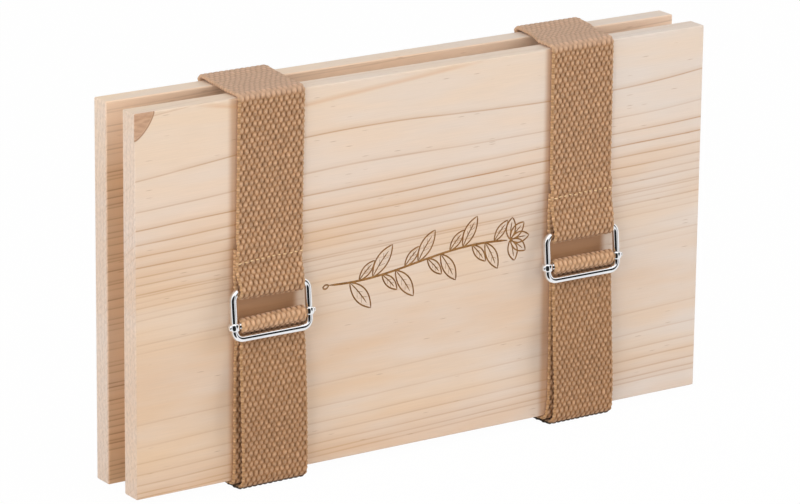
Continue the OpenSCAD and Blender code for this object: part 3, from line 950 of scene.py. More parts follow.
# Twisted cotton is dull and creamy, with painted shade in darker lines between its strands
thread, tree, shader = finish("twisted cotton sewing thread")
strands = add(tree, NOISE, add(tree, "ShaderNodeTexCoord", out="Object"), out="Fac",
              named={"Scale": STRANDS, "Detail": 1.0})
colour = add(tree, RAMP, strands, stops=[(0.3, "#cfa97d"), (0.6, "#e8cba1")])
tree.links.new(colour, shader.inputs["Base Color"])
shader.inputs["Roughness"].default_value = 0.8
shader.inputs["IOR"].default_value = 1.45


def stitch_tree(material):
    """Beads of thread on even steps along a line."""
    tree, start = new_tree("row of stitches", [
        ("Step", "NodeSocketFloat", STITCH_STEP),
        ("Length", "NodeSocketFloat", STITCH_L),
        ("Thread", "NodeSocketFloat", THREAD_D),
        ("Seed", "NodeSocketInt", 1),
    ])
    given = start.outputs
    path = add(tree, "GeometryNodeMeshToCurve", given["Geometry"])
    dots = add(tree, "GeometryNodeCurveToPoints", path, mode="LENGTH", out=None,
               named={"Length": given["Step"]}).outputs
    luck = {"data_type": "FLOAT_VECTOR", "out": "Value"}
    least, most = (-STITCH_SHIFT,) * 3, (STITCH_SHIFT,) * 3
    stray = add(tree, "FunctionNodeRandomValue", least, most,
                named={"Seed": given["Seed"]}, **luck)
    strewn = add(tree, "GeometryNodeSetPosition", dots["Points"], named={"Offset": stray})
    bead = add(tree, "GeometryNodeMeshUVSphere", 10, 7, 0.5)
    size = add(tree, COMBINE, given["Length"], given["Thread"], given["Thread"])
    along = add(tree, "FunctionNodeAlignRotationToVector", axis="X",
                named={"Vector": dots["Tangent"]})
    beads = add(tree, "GeometryNodeInstanceOnPoints", strewn,
                named={"Instance": bead, "Rotation": along, "Scale": size})
    tilt = add(tree, "FunctionNodeRandomValue", TILT_LEAST, TILT_MOST,
               named={"Seed": given["Seed"]}, **luck)
    turn = add(tree, "FunctionNodeEulerToRotation", tilt)
    tilted = add(tree, "GeometryNodeRotateInstances", beads, named={"Rotation": turn})
    end_tree(tree, tilted, material)
    return tree


STITCHES = stitch_tree(thread)

# %% Sew both folds
ROW_SHIFT = 0.5 * MM        # the whole row lies this far to the right
SUNK = 0.05 * MM            # how deep the thread lies in the weave
ROW_PARTS = 12
# Rise of each row towards the right, and its seed
ROWS = {"left": (1.2 * MM, 3), "right": (0.4 * MM, 5)}


def sewing_line(x, stitch_z, slope):
    """Places along the row, from behind the left edge across to the right."""
    out = FACE_Y + ply(2) + STRAP_T / 2 - SUNK
    left = x + ROW_SHIFT - STRAP_W / 2
    line = [(left - 0.2 * MM, -(out - 1.6 * MM), stitch_z - 1.4 * slope)]
    for i in range(ROW_PARTS + 1):
        share = i / ROW_PARTS
        z = stitch_z + slope * (1 - (1 - share) ** 2.2)
        line.append((left + 0.5 * MM + share * (STRAP_W - 1.4 * MM), -out, z))
    return [(px, CENTRE_Y + py, pz) for px, py, pz in line]


for name, (slope, seed) in ROWS.items():
    line = sewing_line(STRAPS[name][0], PATHS[name]["stitch_z"], slope)
    beads = settle(polyline("sewing line", line), STITCHES, Seed=seed)
    sewn = show(f"{name}_fold_stitches", beads)
    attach(sewn, "front")

# %% [markdown]
# ## Buckles
# A slide buckle is a rectangle of steel wire, bent round a former, closed by a
# weld and chromed. Its bar is a thinner rod whose ends are pressed round the
# two side wires, so that it slides on them. The frame could be put together
# from cylinders and quarter rings, but their joints would show in the mirror. A
# wire that follows a path is a curve swept by a circle, and a few nodes do that
# in one piece. The bar's parts are turned round an axis, as on a lathe, which
# is how such parts start out.

# %% Bright chrome
# Chrome plate is a hard, pale, slightly blue mirror. Its base metal was drawn
# through a die, which leaves the faintest lengthwise ripple under the plate
CLOUDS, HAZE = 90.0, 400.0  # per metre: clouds of 11 mm and haze of 2.5 mm

chrome, tree, shader = finish("bright chrome plate on steel wire")
place = add(tree, "ShaderNodeTexCoord", out="Object")
cloud = add(tree, NOISE, place, out="Fac", named={"Scale": CLOUDS, "Detail": 2.0})
colour = add(tree, RAMP, cloud, stops=[(0.3, "#e4e5e8"), (0.7, "#f1f1f2")])
tree.links.new(colour, shader.inputs["Base Color"])
shader.inputs["Metallic"].default_value = 1.0
haze = add(tree, NOISE, place, out="Fac", named={"Scale": HAZE, "Detail": 2.0})
tree.links.new(add(tree, RANGE, haze, 0.3, 0.7, 0.04, 0.11), shader.inputs["Roughness"])
ripple = add(tree, "ShaderNodeBump", out="Normal",
             named={"Strength": 0.06, "Distance": 0.1 * MM, "Height": cloud})
tree.links.new(ripple, shader.inputs["Normal"])


# %% Wire and turned parts
AROUND = 32                 # corners of every round section


def wire_tree(material):
    """Sweeps a round wire along a line."""
    tree, start = new_tree("bent wire", [("Radius", "NodeSocketFloat", WIRE_R)])
    path = add(tree, "GeometryNodeMeshToCurve", start.outputs["Geometry"])
    ring = add(tree, "GeometryNodeCurvePrimitiveCircle", AROUND,
               named={"Radius": start.outputs["Radius"]})
    tube = add(tree, "GeometryNodeCurveToMesh", path, ring, named={"Fill Caps": True})
    end_tree(tree, add(tree, "GeometryNodeSetShadeSmooth", tube), material)
    return tree


def turned(name, profile, ring=False):
    """A solid turned from (radius, height) points. A ring's profile closes on
    itself, any other starts and ends on the axis."""
    cut = bmesh.new()
    rows = []
    for radius, height in profile:
        if radius == 0:
            rows.append([cut.verts.new((0, 0, height))] * AROUND)
            continue
        angles = [2 * pi * i / AROUND for i in range(AROUND)]
        rows.append([cut.verts.new((radius * cos(a), radius * sin(a), height)) for a in angles])
    pairs = list(zip(rows, rows[1:])) + [(rows[-1], rows[0])] * ring
    for low, high in pairs:
        for i in range(AROUND):
            j = (i + 1) % AROUND
            corners = [low[i], low[j], high[j], high[i]]
            own = [v for k, v in enumerate(corners) if v not in corners[:k]]
            cut.faces.new(own).smooth = True
    mesh = bpy.data.meshes.new(name)
    cut.to_mesh(mesh)
    cut.free()
    mesh.materials.append(chrome)
    return mesh


# %% Lines and profiles of a buckle
EYE_BORE, EYE_R, EYE_H = 1.6 * MM, 2.25 * MM, 3.0 * MM
CORNER_TURNS = 10
frame_line = []
for u, low, start in ((1, 0, 90), (1, 1, 0), (-1, 1, -90), (-1, 0, -180)):
    centre_x = u * (SIDE_X - CORNER_R)
    centre_z = CORNER_R - FRAME_H if low else -CORNER_R
    for i in range(CORNER_TURNS + 1):
        a = radians(start - 90 * i / CORNER_TURNS)
        frame_line.append((centre_x + CORNER_R * cos(a), 0.0, centre_z + CORNER_R * sin(a)))

# Radius of the eye's side, and height as a share of half the eye's
rounded = [(1.75 * MM, 1.06), (2.0 * MM, 0.98), (2.17 * MM, 0.7), (EYE_R, 0.25)]
EYE_SIDE = [(EYE_BORE, -1), (EYE_BORE, 1)] + rounded + [(r, -h) for r, h in rounded[::-1]]
# The pressed end of the rod, which stands out of its eye, in mm
NUB_SIDE = [(0, 1.72), (1.2, 1.72), (1.28, 2.05), (1.22, 2.35), (1.02, 2.58), (0.6, 2.74),
            (0, 2.8)]
ROD_SHORT = 1.78 * MM       # the rod ends this far from a side wire's axis
rod_end = SIDE_X - ROD_SHORT
rod_side = [(BAR_R, share * rod_end) for share in (-1, -1 / 3, 1 / 3, 1)]
ROD_SIDE = [(0, -rod_end)] + rod_side + [(0, rod_end)]
print("frame line:", len(frame_line), "points, rod:", round(2 * rod_end / MM, 1), "mm long")

# %% Bend the frames and fit the bars
BENT_WIRE = wire_tree(chrome)
LIE_DOWN = Matrix.Rotation(pi / 2, 4, "Y")      # from upright to along the bar


def bar_parts():
    """The rod, its two eyes and its two nubs, round the bar's middle."""
    parts = [turned("rod", ROD_SIDE)]
    parts[0].transform(LIE_DOWN)
    for side in (-1, 1):
        eye = turned("eye", [(r, h * EYE_H / 2) for r, h in EYE_SIDE], ring=True)
        nub = turned("nub", [(r * MM, h * MM) for r, h in NUB_SIDE])
        nub.transform(LIE_DOWN)
        if side < 0:
            nub.transform(Matrix.Rotation(pi, 4, "Z"))
        for part in (eye, nub):
            part.transform(Matrix.Translation((side * SIDE_X, 0, 0)))
        parts += [eye, nub]
    return parts


for name, (x, buckle_h, *_) in STRAPS.items():
    hang = Matrix.Translation((x, CENTRE_Y - FACE_Y - TOP_WIRE_OUT, BOARD_Z + buckle_h))
    hang = hang @ Matrix.Rotation(-LEAN, 4, "X")
    loop = settle(polyline("frame line", frame_line, closed=True), BENT_WIRE, Radius=WIRE_R)
    loop.transform(hang)
    made = show(f"{name}_wire_frame", loop)
    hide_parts(f"{name}_buckle_frame")
    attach(made, f"{name}_buckle")

    askew = Matrix.Rotation(-ASKEW[name][0], 4, "Y")
    parts = bar_parts()
    for part in parts:
        part.transform(hang @ Matrix.Translation((0, 0, BAR_RISE - FRAME_H)) @ askew)
    made = show(f"{name}_sliding_bar", *parts)
    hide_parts(f"{name}_buckle_bar")
    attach(made, f"{name}_bar")

# %% [markdown]
# ## Boards
# The boards are pale pine, sawn flat and sanded, with their edges eased. A tree
# grows a light, soft band in spring and a thin, dark one in late summer, so the
# face shows lines along the grain. Each line is sharp where the dark wood ends
# and fades slowly on its other side. The lines climb a little to the right. An
# image of wood could be wrapped round the board, but rings that are a function
# of the place run on from the face over the edges, as they do in real wood. The
# ends, sawn across, show the rings as faint arcs.

# %% Where a point lies in the board
SKIN = (0.3, 0.8)           # depth in mm over which a mark on the face fades out
HALF_L, HIGH = BOARD_L / 2 / MM, BOARD_H / MM


def board_places(tree, face_y, shift):
    """A point's place in the board in mm, the same shifted for the noises, its
    x, depth and height, and how far it belongs to a sawn end."""
    home = (0.0, -face_y / MM, -BOARD_Z / MM)
    place = add(tree, "ShaderNodeTexCoord", out="Object")
    place = add(tree, VECTOR, place, (1 / MM,) * 3, home, operation="MULTIPLY_ADD")
    x, depth, z = add(tree, SEPARATE, place, out=None).outputs
    from_middle = add(tree, MATH, x, operation="ABSOLUTE")
    end_grain = add(tree, RANGE, from_middle, HALF_L - 0.5, HALF_L - 0.15)
    lot = add(tree, VECTOR, place, (shift, 0.0, 0.0), operation="ADD")
    return place, lot, x, depth, z, end_grain


# %% [markdown]
# A ring is a line at one height on the face, which climbs by the slope of the
# grain and leans through the thickness. Each could be a drawn curve, but one
# sum gives every point its ring. A slow noise makes the rings sway, and on the
# front board the upper ones also rise and fall in one long wave.

# %% Heights of the rings
SLOPE, THROUGH, SWAY = -0.028, 0.8, 2.0     # per mm of x, per mm of depth, in mm
SLOW_NOISE = (0.011, 0.03, 0.035)           # per mm: 90 mm along the grain
# Length of the wave, how far it is shifted, and the heights over which it grows
WAVE_L, WAVE_START, WAVE_FROM = 260, 45, (112, 134)


def ring_height(tree, lot, x, depth, z, wave):
    """The height that a point's ring has on the face at the middle of the
    board, in mm, and the slow noise that moved it."""
    slow = add(tree, VECTOR, lot, SLOW_NOISE, operation="MULTIPLY")
    sway = add(tree, NOISE, slow, out="Fac", named={"Scale": 1.0, "Detail": 2.0})
    ring = add(tree, MATH, x, SLOPE, z, operation="MULTIPLY_ADD")
    ring = add(tree, MATH, depth, THROUGH, ring, operation="MULTIPLY_ADD")
    ring = add(tree, MATH, sway, SWAY, ring, operation="MULTIPLY_ADD")
    ring = add(tree, MATH, ring, SWAY / 2, operation="SUBTRACT")
    if wave:
        turn = add(tree, MATH, x, 2 * pi / WAVE_L, WAVE_START * 2 * pi / WAVE_L,
                   operation="MULTIPLY_ADD")
        swing = add(tree, MATH, turn, operation="COSINE")
        high = add(tree, RANGE, z, *WAVE_FROM, interpolation_type="SMOOTHSTEP")
        rise = add(tree, MATH, swing, high, operation="MULTIPLY")
        ring = add(tree, MATH, rise, -wave, ring, operation="MULTIPLY_ADD")
    return ring, sway


# %% Dark late wood and pale early wood
RING_BELOW, RING_ABOVE = 0.4, 2.2           # mm that a dark line reaches each way
LATE_SHAPE = [(0.0, "#000000"), (0.16, "#ffffff"), (0.34, "#848484"), (1.0, "#000000")]
TONES_OVER = 170            # mm of rings over which the early wood's tones run


def late_wood_share(tree, ring, lot, z, end_grain, rings, strength):
    """How much of a point is dark late wood: sharp lines with a soft upper side,
    weaker in patches, on the ends and on the top edge."""
    dark = 0.0
    for height, share in rings:
        step = add(tree, RANGE, ring, height - RING_BELOW, height + RING_ABOVE)
        line = add(tree, RAMP, step, stops=LATE_SHAPE)
        dark = add(tree, MATH, line, share * strength, dark, operation="MULTIPLY_ADD")
    long_noise = add(tree, VECTOR, lot, (0.02, 0.3, 0.3), operation="MULTIPLY")
    patch = add(tree, NOISE, long_noise, out="Fac", named={"Scale": 1.0, "Detail": 3.0})
    for weaker in (
        add(tree, RANGE, patch, 0.3, 0.65, 0.55, 1.15),
        add(tree, RANGE, end_grain, 0.0, 1.0, 1.0, 0.3),
        add(tree, RANGE, z, HIGH - 0.8, HIGH - 0.2, 1.0, 0.35),
    ):
        dark = add(tree, MATH, dark, weaker, operation="MULTIPLY")
    return dark


def early_wood(tree, ring, lot, x, tones):
    """The pale wood between, whose tone changes slowly from ring to ring and
    which is rosier towards the right."""
    share = add(tree, MATH, ring, 1 / TONES_OVER, operation="MULTIPLY")
    tone = add(tree, RAMP, share, stops=tones)
    cloud = add(tree, VECTOR, lot, (0.016, 0.05, 0.09), operation="MULTIPLY")
    rosy = add(tree, NOISE, cloud, out="Fac", named={"Scale": 1.0, "Detail": 2.0})
    rosy = add(tree, RANGE, rosy, 0.35, 0.7, -0.2, 0.35)
    to_right = add(tree, RANGE, x, -HALF_L, HALF_L, 0.05, 0.6)
    rosy = add(tree, MATH, rosy, to_right, operation="ADD")
    return add(tree, MIX, named={SHARE: rosy, UNDER: tone, OVER: linear("#e1d5cd")}, **COLOUR)


# %% [markdown]
# The rear board's inner face lies deep in the narrow gap, so it gets painted
# shade: it is painted brown, more so low down, and warm and pale near its top,
# as painted light that falls in from above. Beside the straps the front board
# gets painted shadow, tan with the light that the webbing bounces, most behind
# the open buckles. Such shade could be painted in an image, but shares that
# fade in over a few millimetres of place are as soft as real ones, and their
# edges are measured like any part.

# %% Painted shade of the gap, and painted shadow beside the straps
GAP_LIT_FROM = (126, 150)      # height in mm from which painted light makes the inner face paler
# The painted shadow beside the straps is deeper behind the open buckles
WINDOW_Z, WINDOW_FADE = 72.0, (5, 10)   # middle of the open buckles, and off it


def painted_gap_shade(tree, dark, tone, depth, z, gap_shade):
    """The rings and the tone of the inner face, with painted shade of the narrow gap and painted
    light near its top.
    """
    # Off the face the rings are fainter, and near the top too, as painted light
    for weaker in (
        add(tree, RANGE, depth, *SKIN, 1.0, 0.45),
        add(tree, RANGE, z, 132, 148, 1.0, 0.45),
    ):
        dark = add(tree, MATH, dark, weaker, operation="MULTIPLY")
    # Painted shade of the narrow gap: the face is mixed towards brown, more so low down
    brown = add(tree, RANGE, depth, *SKIN, gap_shade, 0.0)
    for share in (
        add(tree, RANGE, z, *GAP_LIT_FROM, 1.0, 0.15),
        add(tree, RANGE, z, 5, 45, 1.35, 1.0),
    ):
        brown = add(tree, MATH, brown, share, operation="MULTIPLY")
    # Painted light, warm and pale, where light falls into the gap near its top
    face = add(tree, RANGE, depth, *SKIN, 1.0, 0.0)
    gap_top_light = add(tree, RANGE, z, *GAP_LIT_FROM, 0.0, 0.55)
    gap_top_light = add(tree, MATH, face, gap_top_light, operation="MULTIPLY")
    for share, colour in ((brown, "#d3a06b"), (gap_top_light, "#f6d2b4")):
        tone = add(tree, MIX, named={SHARE: share, UNDER: tone, OVER: linear(colour)}, **COLOUR)
    return dark, tone


def painted_strap_shadow(tree, tone, x, depth, z, left, right):
    """The tone with painted shadow beside one strap, tan with the light that its
    webbing bounces, between its left and right edges.
    """
    # Painted shadow beside the strap, tan with the light that its webbing bounces
    tan = add(tree, RANGE, x, left - 3.4, left - 0.5, 0.0, 0.6,
              interpolation_type="SMOOTHSTEP")
    past = add(tree, RANGE, x, right - 4.0, right, 1.0, 0.0, interpolation_type="SMOOTHSTEP")
    # The painted shadow is half as deep again behind the open buckle, under its fold
    off_window = add(tree, MATH, z, WINDOW_Z, operation="SUBTRACT")
    off_window = add(tree, MATH, off_window, operation="ABSOLUTE")
    for share in (
        past,
        add(tree, RANGE, off_window, *WINDOW_FADE, 1.5, 1.0),
        add(tree, RANGE, depth, *SKIN, 1.0, 0.0),
    ):
        tan = add(tree, MATH, tan, share, operation="MULTIPLY")
    return add(tree, MIX, named={SHARE: tan, UNDER: tone, OVER: linear("#bd8b60")}, **COLOUR)


# %% Sawn ends
# From arc to arc, height of their middle, how flat they are, and how they sway
ARC_STEP, ARC_MIDDLE, ARC_BEND, ARC_SWAY = 2.6, 95.0, 900, 6.0


def sawn_ends(tree, tone, sway, depth, z, end_grain):
    """The tone with the rings' steep arcs on the sawn ends, and these paler."""
    mid = add(tree, MATH, z, ARC_MIDDLE, operation="SUBTRACT")
    mid = add(tree, MATH, mid, mid, operation="MULTIPLY")
    arc = add(tree, MATH, mid, 1 / ARC_BEND, depth, operation="MULTIPLY_ADD")
    arc = add(tree, MATH, sway, ARC_SWAY, arc, operation="MULTIPLY_ADD")
    arc = add(tree, MATH, arc, 2 * pi / ARC_STEP, operation="MULTIPLY")
    arc = add(tree, MATH, arc, operation="SINE")
    arc = add(tree, RANGE, arc, 0.1, 1.0, 0.0, 0.2)
    arc = add(tree, MATH, arc, end_grain, operation="MULTIPLY")
    pale = add(tree, MATH, end_grain, 0.4, operation="MULTIPLY")
    for share, colour in ((arc, "#b98f66"), (pale, "#ddcac0")):
        tone = add(tree, MIX, named={SHARE: share, UNDER: tone, OVER: linear(colour)}, **COLOUR)
    return tone


# %% [markdown]
# Two marks are the front board's own: a knot that the saw cut through at its
# upper left corner, and near the top edge one ring that dips out of it and
# comes back. A knot is where a branch began, so its wood is darker and streaky
# and has a bark-brown rim. Both are outlines worked out from the place and laid
# over the wood, because the rings' own sum has no room for a single mark.

# %% Knot in the corner
KNOT_L, KNOT_H, KNOT_POWER = 8.8, 10.8, 1.4     # mm, mm and how square it is


def knot_corner(tree, wood, place, x, z, on_face):
    """The wood with a knot in its upper left corner."""
    sides = [
        add(tree, MATH, x, 1 / KNOT_L, HALF_L / KNOT_L, operation="MULTIPLY_ADD"),
        add(tree, MATH, z, -1 / KNOT_H, HIGH / KNOT_H, operation="MULTIPLY_ADD"),
    ]
    sides = [add(tree, MATH, side, operation="ABSOLUTE") for side in sides]
    sides = [add(tree, MATH, side, KNOT_POWER, operation="POWER") for side in sides]
    away = add(tree, MATH, *sides, operation="ADD")
    heart = add(tree, RANGE, away, 0.9, 1.0, 0.8, 0.0)
    heart = add(tree, MATH, heart, on_face, operation="MULTIPLY")
    rim = add(tree, RAMP, add(tree, RANGE, away, 0.92, 1.08),
              stops=[(0.0, "#000000"), (0.5, "#ffffff"), (1.0, "#000000")])
    rim = add(tree, MATH, rim, on_face, operation="MULTIPLY")
    streaks = add(tree, VECTOR, place, (0.25, 1.0, 0.9), operation="MULTIPLY")
    streaks = add(tree, NOISE, streaks, out="Fac", named={"Scale": 1.0, "Detail": 2.0})
    streaks = add(tree, RAMP, streaks, stops=[(0.35, "#ad7d5d"), (0.65, "#c59877")])
    for share, colour in ((heart, streaks), (rim, linear("#9c6a42"))):
        wood = add(tree, MIX, named={SHARE: share, UNDER: wood, OVER: colour}, **COLOUR)
    return wood


# %% One ring that dips from the top edge
DIP_FROM, DIP_BACK, DIP_DEEP = (-112, -68), (-60, 32), 7.3      # x, x and depth, mm


def dipping_ring(tree, wood, x, z, on_face):
    """The wood with one ring cut so shallowly that it dips from the top edge
    and comes back to it."""
    dip = add(tree, RANGE, x, *DIP_FROM, 0.0, DIP_DEEP)
    back = add(tree, RANGE, x, *DIP_BACK, 0.0, DIP_DEEP)
    dip = add(tree, MATH, dip, back, operation="SUBTRACT")
    above = add(tree, MATH, z, dip, operation="ADD")
    above = add(tree, MATH, above, HIGH, operation="SUBTRACT")
    band = add(tree, RAMP, add(tree, RANGE, above, -1.1, 1.8),
               stops=[(0.0, "#000000"), (0.35, "#b4b4b4"), (1.0, "#000000")])
    for share in (add(tree, RANGE, dip, 0.2, 2.0), on_face):
        band = add(tree, MATH, band, share, operation="MULTIPLY")
    return add(tree, MIX, named={SHARE: band, UNDER: wood, OVER: linear("#d6a577")}, **COLOUR)


# %% Fibres and resin canals
def fibres_and_canals(tree, wood, place, lot, end_grain):
    """The wood with its fibres, which run along the grain, about 0.3 mm wide
    here, ten times the real ones, and with the short dark threads of resin
    canals. Returns the fibres too."""
    thin = add(tree, VECTOR, place, (0.06, 2.0, 2.4), operation="MULTIPLY")
    fibre = add(tree, NOISE, thin, out="Fac",
                named={"Scale": 1.0, "Detail": 3.0, "Roughness": 0.6})
    shade = add(tree, RANGE, fibre, 0.25, 0.75, 0.955, 1.035)
    cut = add(tree, VECTOR, lot, (0.0, 1.1, 0.6), operation="MULTIPLY")
    cut = add(tree, NOISE, cut, out="Fac", named={"Scale": 1.0, "Detail": 2.0})
    cut = add(tree, RANGE, cut, 0.3, 0.6, -0.12, 0.04)
    cut = add(tree, MATH, cut, end_grain, operation="MULTIPLY")
    shade = add(tree, MATH, shade, cut, operation="ADD")
    wood = add(tree, VECTOR, wood, named={"Scale": shade}, operation="SCALE")
    cells = add(tree, VECTOR, lot, (0.13, 1.6, 1.6), operation="MULTIPLY")
    canal = add(tree, "ShaderNodeTexVoronoi", cells, out=None,
                named={"Scale": 1.0, "Randomness": 1.0}).outputs
    near = add(tree, RANGE, canal["Distance"], 0.1, 0.28, 0.5, 0.0)
    chance = add(tree, SEPARATE, canal["Color"], out="X")
    some = add(tree, RANGE, chance, 0.945, 0.955)
    fleck = add(tree, MATH, near, some, operation="MULTIPLY")
    fleck = {SHARE: fleck, UNDER: wood, OVER: linear("#9c6f46")}
    return add(tree, MIX, named=fleck, **COLOUR), fibre


# %% Pine finish
FACE_MARK = (0.25, 0.6)     # depth in mm over which the knot and the dip fade out


def pine(name, face_y, rings, tones, late_wood, strength,
         wave=0.0, knot=False, shift=0.0, gap_shade=0.0, straps=()):
    """Sanded pine. Rings are heights on the board's face in mm, each with its
    darkness from 0 to 1. A share of gap shade browns that face as painted shade
    of the narrow gap. The straps' edges mark where painted shadow, tan with
    bounced light, falls beside the bands."""
    made, tree, shader = finish(name)
    place, lot, x, depth, z, end_grain = board_places(tree, face_y, shift)
    ring, sway = ring_height(tree, lot, x, depth, z, wave)
    dark = late_wood_share(tree, ring, lot, z, end_grain, rings, strength)
    tone = early_wood(tree, ring, lot, x, tones)
    # Painted shade of the gap, and painted light near its top
    if gap_shade:
        dark, tone = painted_gap_shade(tree, dark, tone, depth, z, gap_shade)
    # Painted shadow beside each strap, tinted by its bounced light
    for left, right in straps:
        tone = painted_strap_shadow(tree, tone, x, depth, z, left, right)
    tone = sawn_ends(tree, tone, sway, depth, z, end_grain)
    wood = add(tree, MIX, named={SHARE: dark, UNDER: tone, OVER: linear(late_wood)}, **COLOUR)
    if knot:
        on_face = add(tree, RANGE, depth, *FACE_MARK, 1.0, 0.0)
        wood = knot_corner(tree, wood, place, x, z, on_face)
        wood = dipping_ring(tree, wood, x, z, on_face)
    wood, fibre = fibres_and_canals(tree, wood, place, lot, end_grain)
    rough = add(tree, RANGE, fibre, 0.3, 0.7, 0.5, 0.62)
    bump = add(tree, "ShaderNodeBump", out="Normal",
               named={"Strength": 0.12, "Distance": 0.1 * MM, "Height": fibre})
    for label, value in (("Base Color", wood), ("Roughness", rough), ("Normal", bump)):
        tree.links.new(value, shader.inputs[label])
    shader.inputs["IOR"].default_value = 1.5
    return made


# %% The rings of both boards
# The front board's dark lines, by height and darkness, are the ones that its
# photograph shows. The rear board's come by chance, at the spacing of slow wood
FRONT_RINGS = [
    (4.3, 0.55), (6.3, 0.5), (9.6, 0.6), (13.9, 0.5), (18.6, 0.4), (25.3, 0.3),
    (34.8, 0.3), (64.1, 0.2), (67.5, 0.3), (72.4, 0.15), (77.6, 0.3), (80.2, 0.2),
    (82.6, 0.6), (85.0, 0.25), (87.2, 0.5), (88.2, 0.5), (92.0, 0.5), (95.2, 0.55),
    (99.1, 0.7), (103.7, 0.8), (108.6, 1.0), (114.5, 0.8), (122.4, 0.5),
    (136.0, 0.8), (160.5, 0.6), (164.0, 0.6),
]
FRONT_TONES = [
    (0.0, "#dbbb9f"), (0.12, "#e3c6a9"), (0.3, "#debfa3"), (0.44, "#e5cab0"),
    (0.58, "#e1c2a6"), (0.7, "#e7d0bd"), (1.0, "#e9d1b9"),
]
FIRST_RING, LAST_RING = 1.5, 170
luck = random.Random(11)    # a fixed seed, so that the rings stay where they are
REAR_RINGS, height = [], FIRST_RING
while height < LAST_RING:
    REAR_RINGS.append((round(height, 1), round(luck.uniform(0.35, 1.0), 2)))
    height += luck.choice((1.1, 1.6, 2.4, 3.8)) + luck.uniform(0.0, 1.6)
# The last tone, which the top of the board reaches, is paler: the wood's own tone with painted
# light on the top face
REAR_TONES = [(0.0, "#e1c9b4"), (0.35, "#e5d0be"), (0.7, "#e1c8b1"), (1.0, "#f0d7bd")]
# The front board gets painted shadow beside the straps, between these edges in mm
front_pine = pine("sanded pine, front board", CENTRE_Y - FACE_Y, FRONT_RINGS, FRONT_TONES,
                  "#b37d44", 0.85, wave=3.0, knot=True, straps=((-92.5, -61.5), (59.0, 89.6)))
# The rear board's inner face gets painted shade of the narrow gap
rear_pine = pine("sanded pine, rear board", CENTRE_Y + HALF_GAP, REAR_RINGS, REAR_TONES,
                 "#85552c", 0.68, shift=400.0, gap_shade=0.5)
print("rings:", len(FRONT_RINGS), "and", len(REAR_RINGS))

# %% [markdown]
# ## The engraving
# The middle of the front board carries a shallow laser engraving, a plain sprig
# with leaves and a small flower at its end. It could be a dark line in the
# finish, but then its walls would catch no light. So each stroke is a thin
# ribbon with pointed ends, all ribbons together are one cutter, and a Boolean
# takes it out of the board. The laser scorches what it cuts, so the grooves are
# brown.

# %% Strokes of the sprig
SIDE_W, RIB_W, VEIN_W, STEM_W = 0.65, 0.5, 0.45, 0.95      # widths of the strokes, mm


def curve_points(a, b, bulge, n=14):
    """Points from a to b on a bow that stands off to the left by the bulge."""
    run = (b[0] - a[0], b[1] - a[1])
    out = []
    for i in range(n + 1):
        t = i / n
        off = 4 * bulge * t * (1 - t)
        out.append((a[0] + run[0] * t - run[1] * off, a[1] + run[1] * t + run[0] * off))
    return out


def onward(base, angle, length):
    """The place that lies so far from the base at this angle in radians."""
    return (base[0] + length * cos(angle), base[1] + length * sin(angle))


def leaf(base, angle, length, plump):
    """A leaf's two sides, its midrib and its side veins, as strokes."""
    a = radians(angle)
    tip = onward(base, a, length)
    strokes = [(curve_points(base, tip, plump), SIDE_W),
               (curve_points(base, tip, -plump * 0.85), SIDE_W),
               (curve_points(base, onward(base, a, 0.8 * length), 0.03, 6), RIB_W)]
    for share in (0.35, 0.55):
        root = onward(base, a, share * length)
        for side in (-1, 1):
            end = onward(root, a + side * radians(38), 0.17 * length)
            strokes.append(([root, end], VEIN_W))
    return strokes


# %% Grow the sprig
def stem_at(x):
    """Height of the stem above the board's bottom, in mm."""
    return 77.0 + 3.2 * sin((x + 6) / 100 * 2 * pi * 0.8)


SPRIG = [([(x, stem_at(x)) for x in range(-48, 41, 3)], STEM_W)]
# A large leaf every 11 mm, in turn above and below, each with a small one across
for i, x in enumerate(range(-38, 29, 11)):
    side = 1 if i % 2 else -1
    SPRIG += leaf((x, stem_at(x)), side * (50 + 2 * i), 16.0 - 0.4 * i, 0.2)
    SPRIG += leaf((x + 4.5, stem_at(x + 4.5)), -side * (44 + i), 10.5, 0.2)
# Five petals at the tip, and the cut end of the stem
for angle in range(-60, 101, 40):
    SPRIG += leaf((40.5, stem_at(39)), angle - 16, 9.5, 0.26)[:3]
SPRIG += leaf((-48.0, stem_at(-48)), 196, 3.0, 0.3)[:2]
print("strokes:", len(SPRIG))


# %% From strokes to a cutter
GROOVE = 0.45 * MM
PROUD = 1 * MM              # how far the cutter stands out of the face
END_SHARE = 0.35            # of a stroke's width that is left at its ends


def cutter_mesh(strokes, face_y):
    """Ribbons with pointed ends, from in front of the face to the groove's
    bottom."""
    front, back = face_y - PROUD, face_y + GROOVE
    cut = bmesh.new()
    for points, width in strokes:
        rows = []
        for i, (px, pz) in enumerate(points):
            before, after = points[max(i - 1, 0)], points[min(i + 1, len(points) - 1)]
            run = Vector((after[0] - before[0], after[1] - before[1])).normalized()
            half = width / 2 * (END_SHARE if i in (0, len(points) - 1) else 1.0)
            rows.append([
                cut.verts.new(((px - side * half * run.y) * MM, y,
                               (pz + side * half * run.x) * MM + BOARD_Z))
                for side, y in ((-1, front), (1, front), (1, back), (-1, back))
            ])
        for low, high in zip(rows, rows[1:]):
            for i in range(4):
                j = (i + 1) % 4
                cut.faces.new((low[i], low[j], high[j], high[i]))
        cut.faces.new(rows[0][::-1])
        cut.faces.new(rows[-1])
    bmesh.ops.recalc_face_normals(cut, faces=cut.faces)
    mesh = bpy.data.meshes.new("sprig cutter")
    cut.to_mesh(mesh)
    cut.free()
    return mesh


# %% Scorched wood
CHAR = 900.0                # per metre: the burn is uneven every millimetre or so

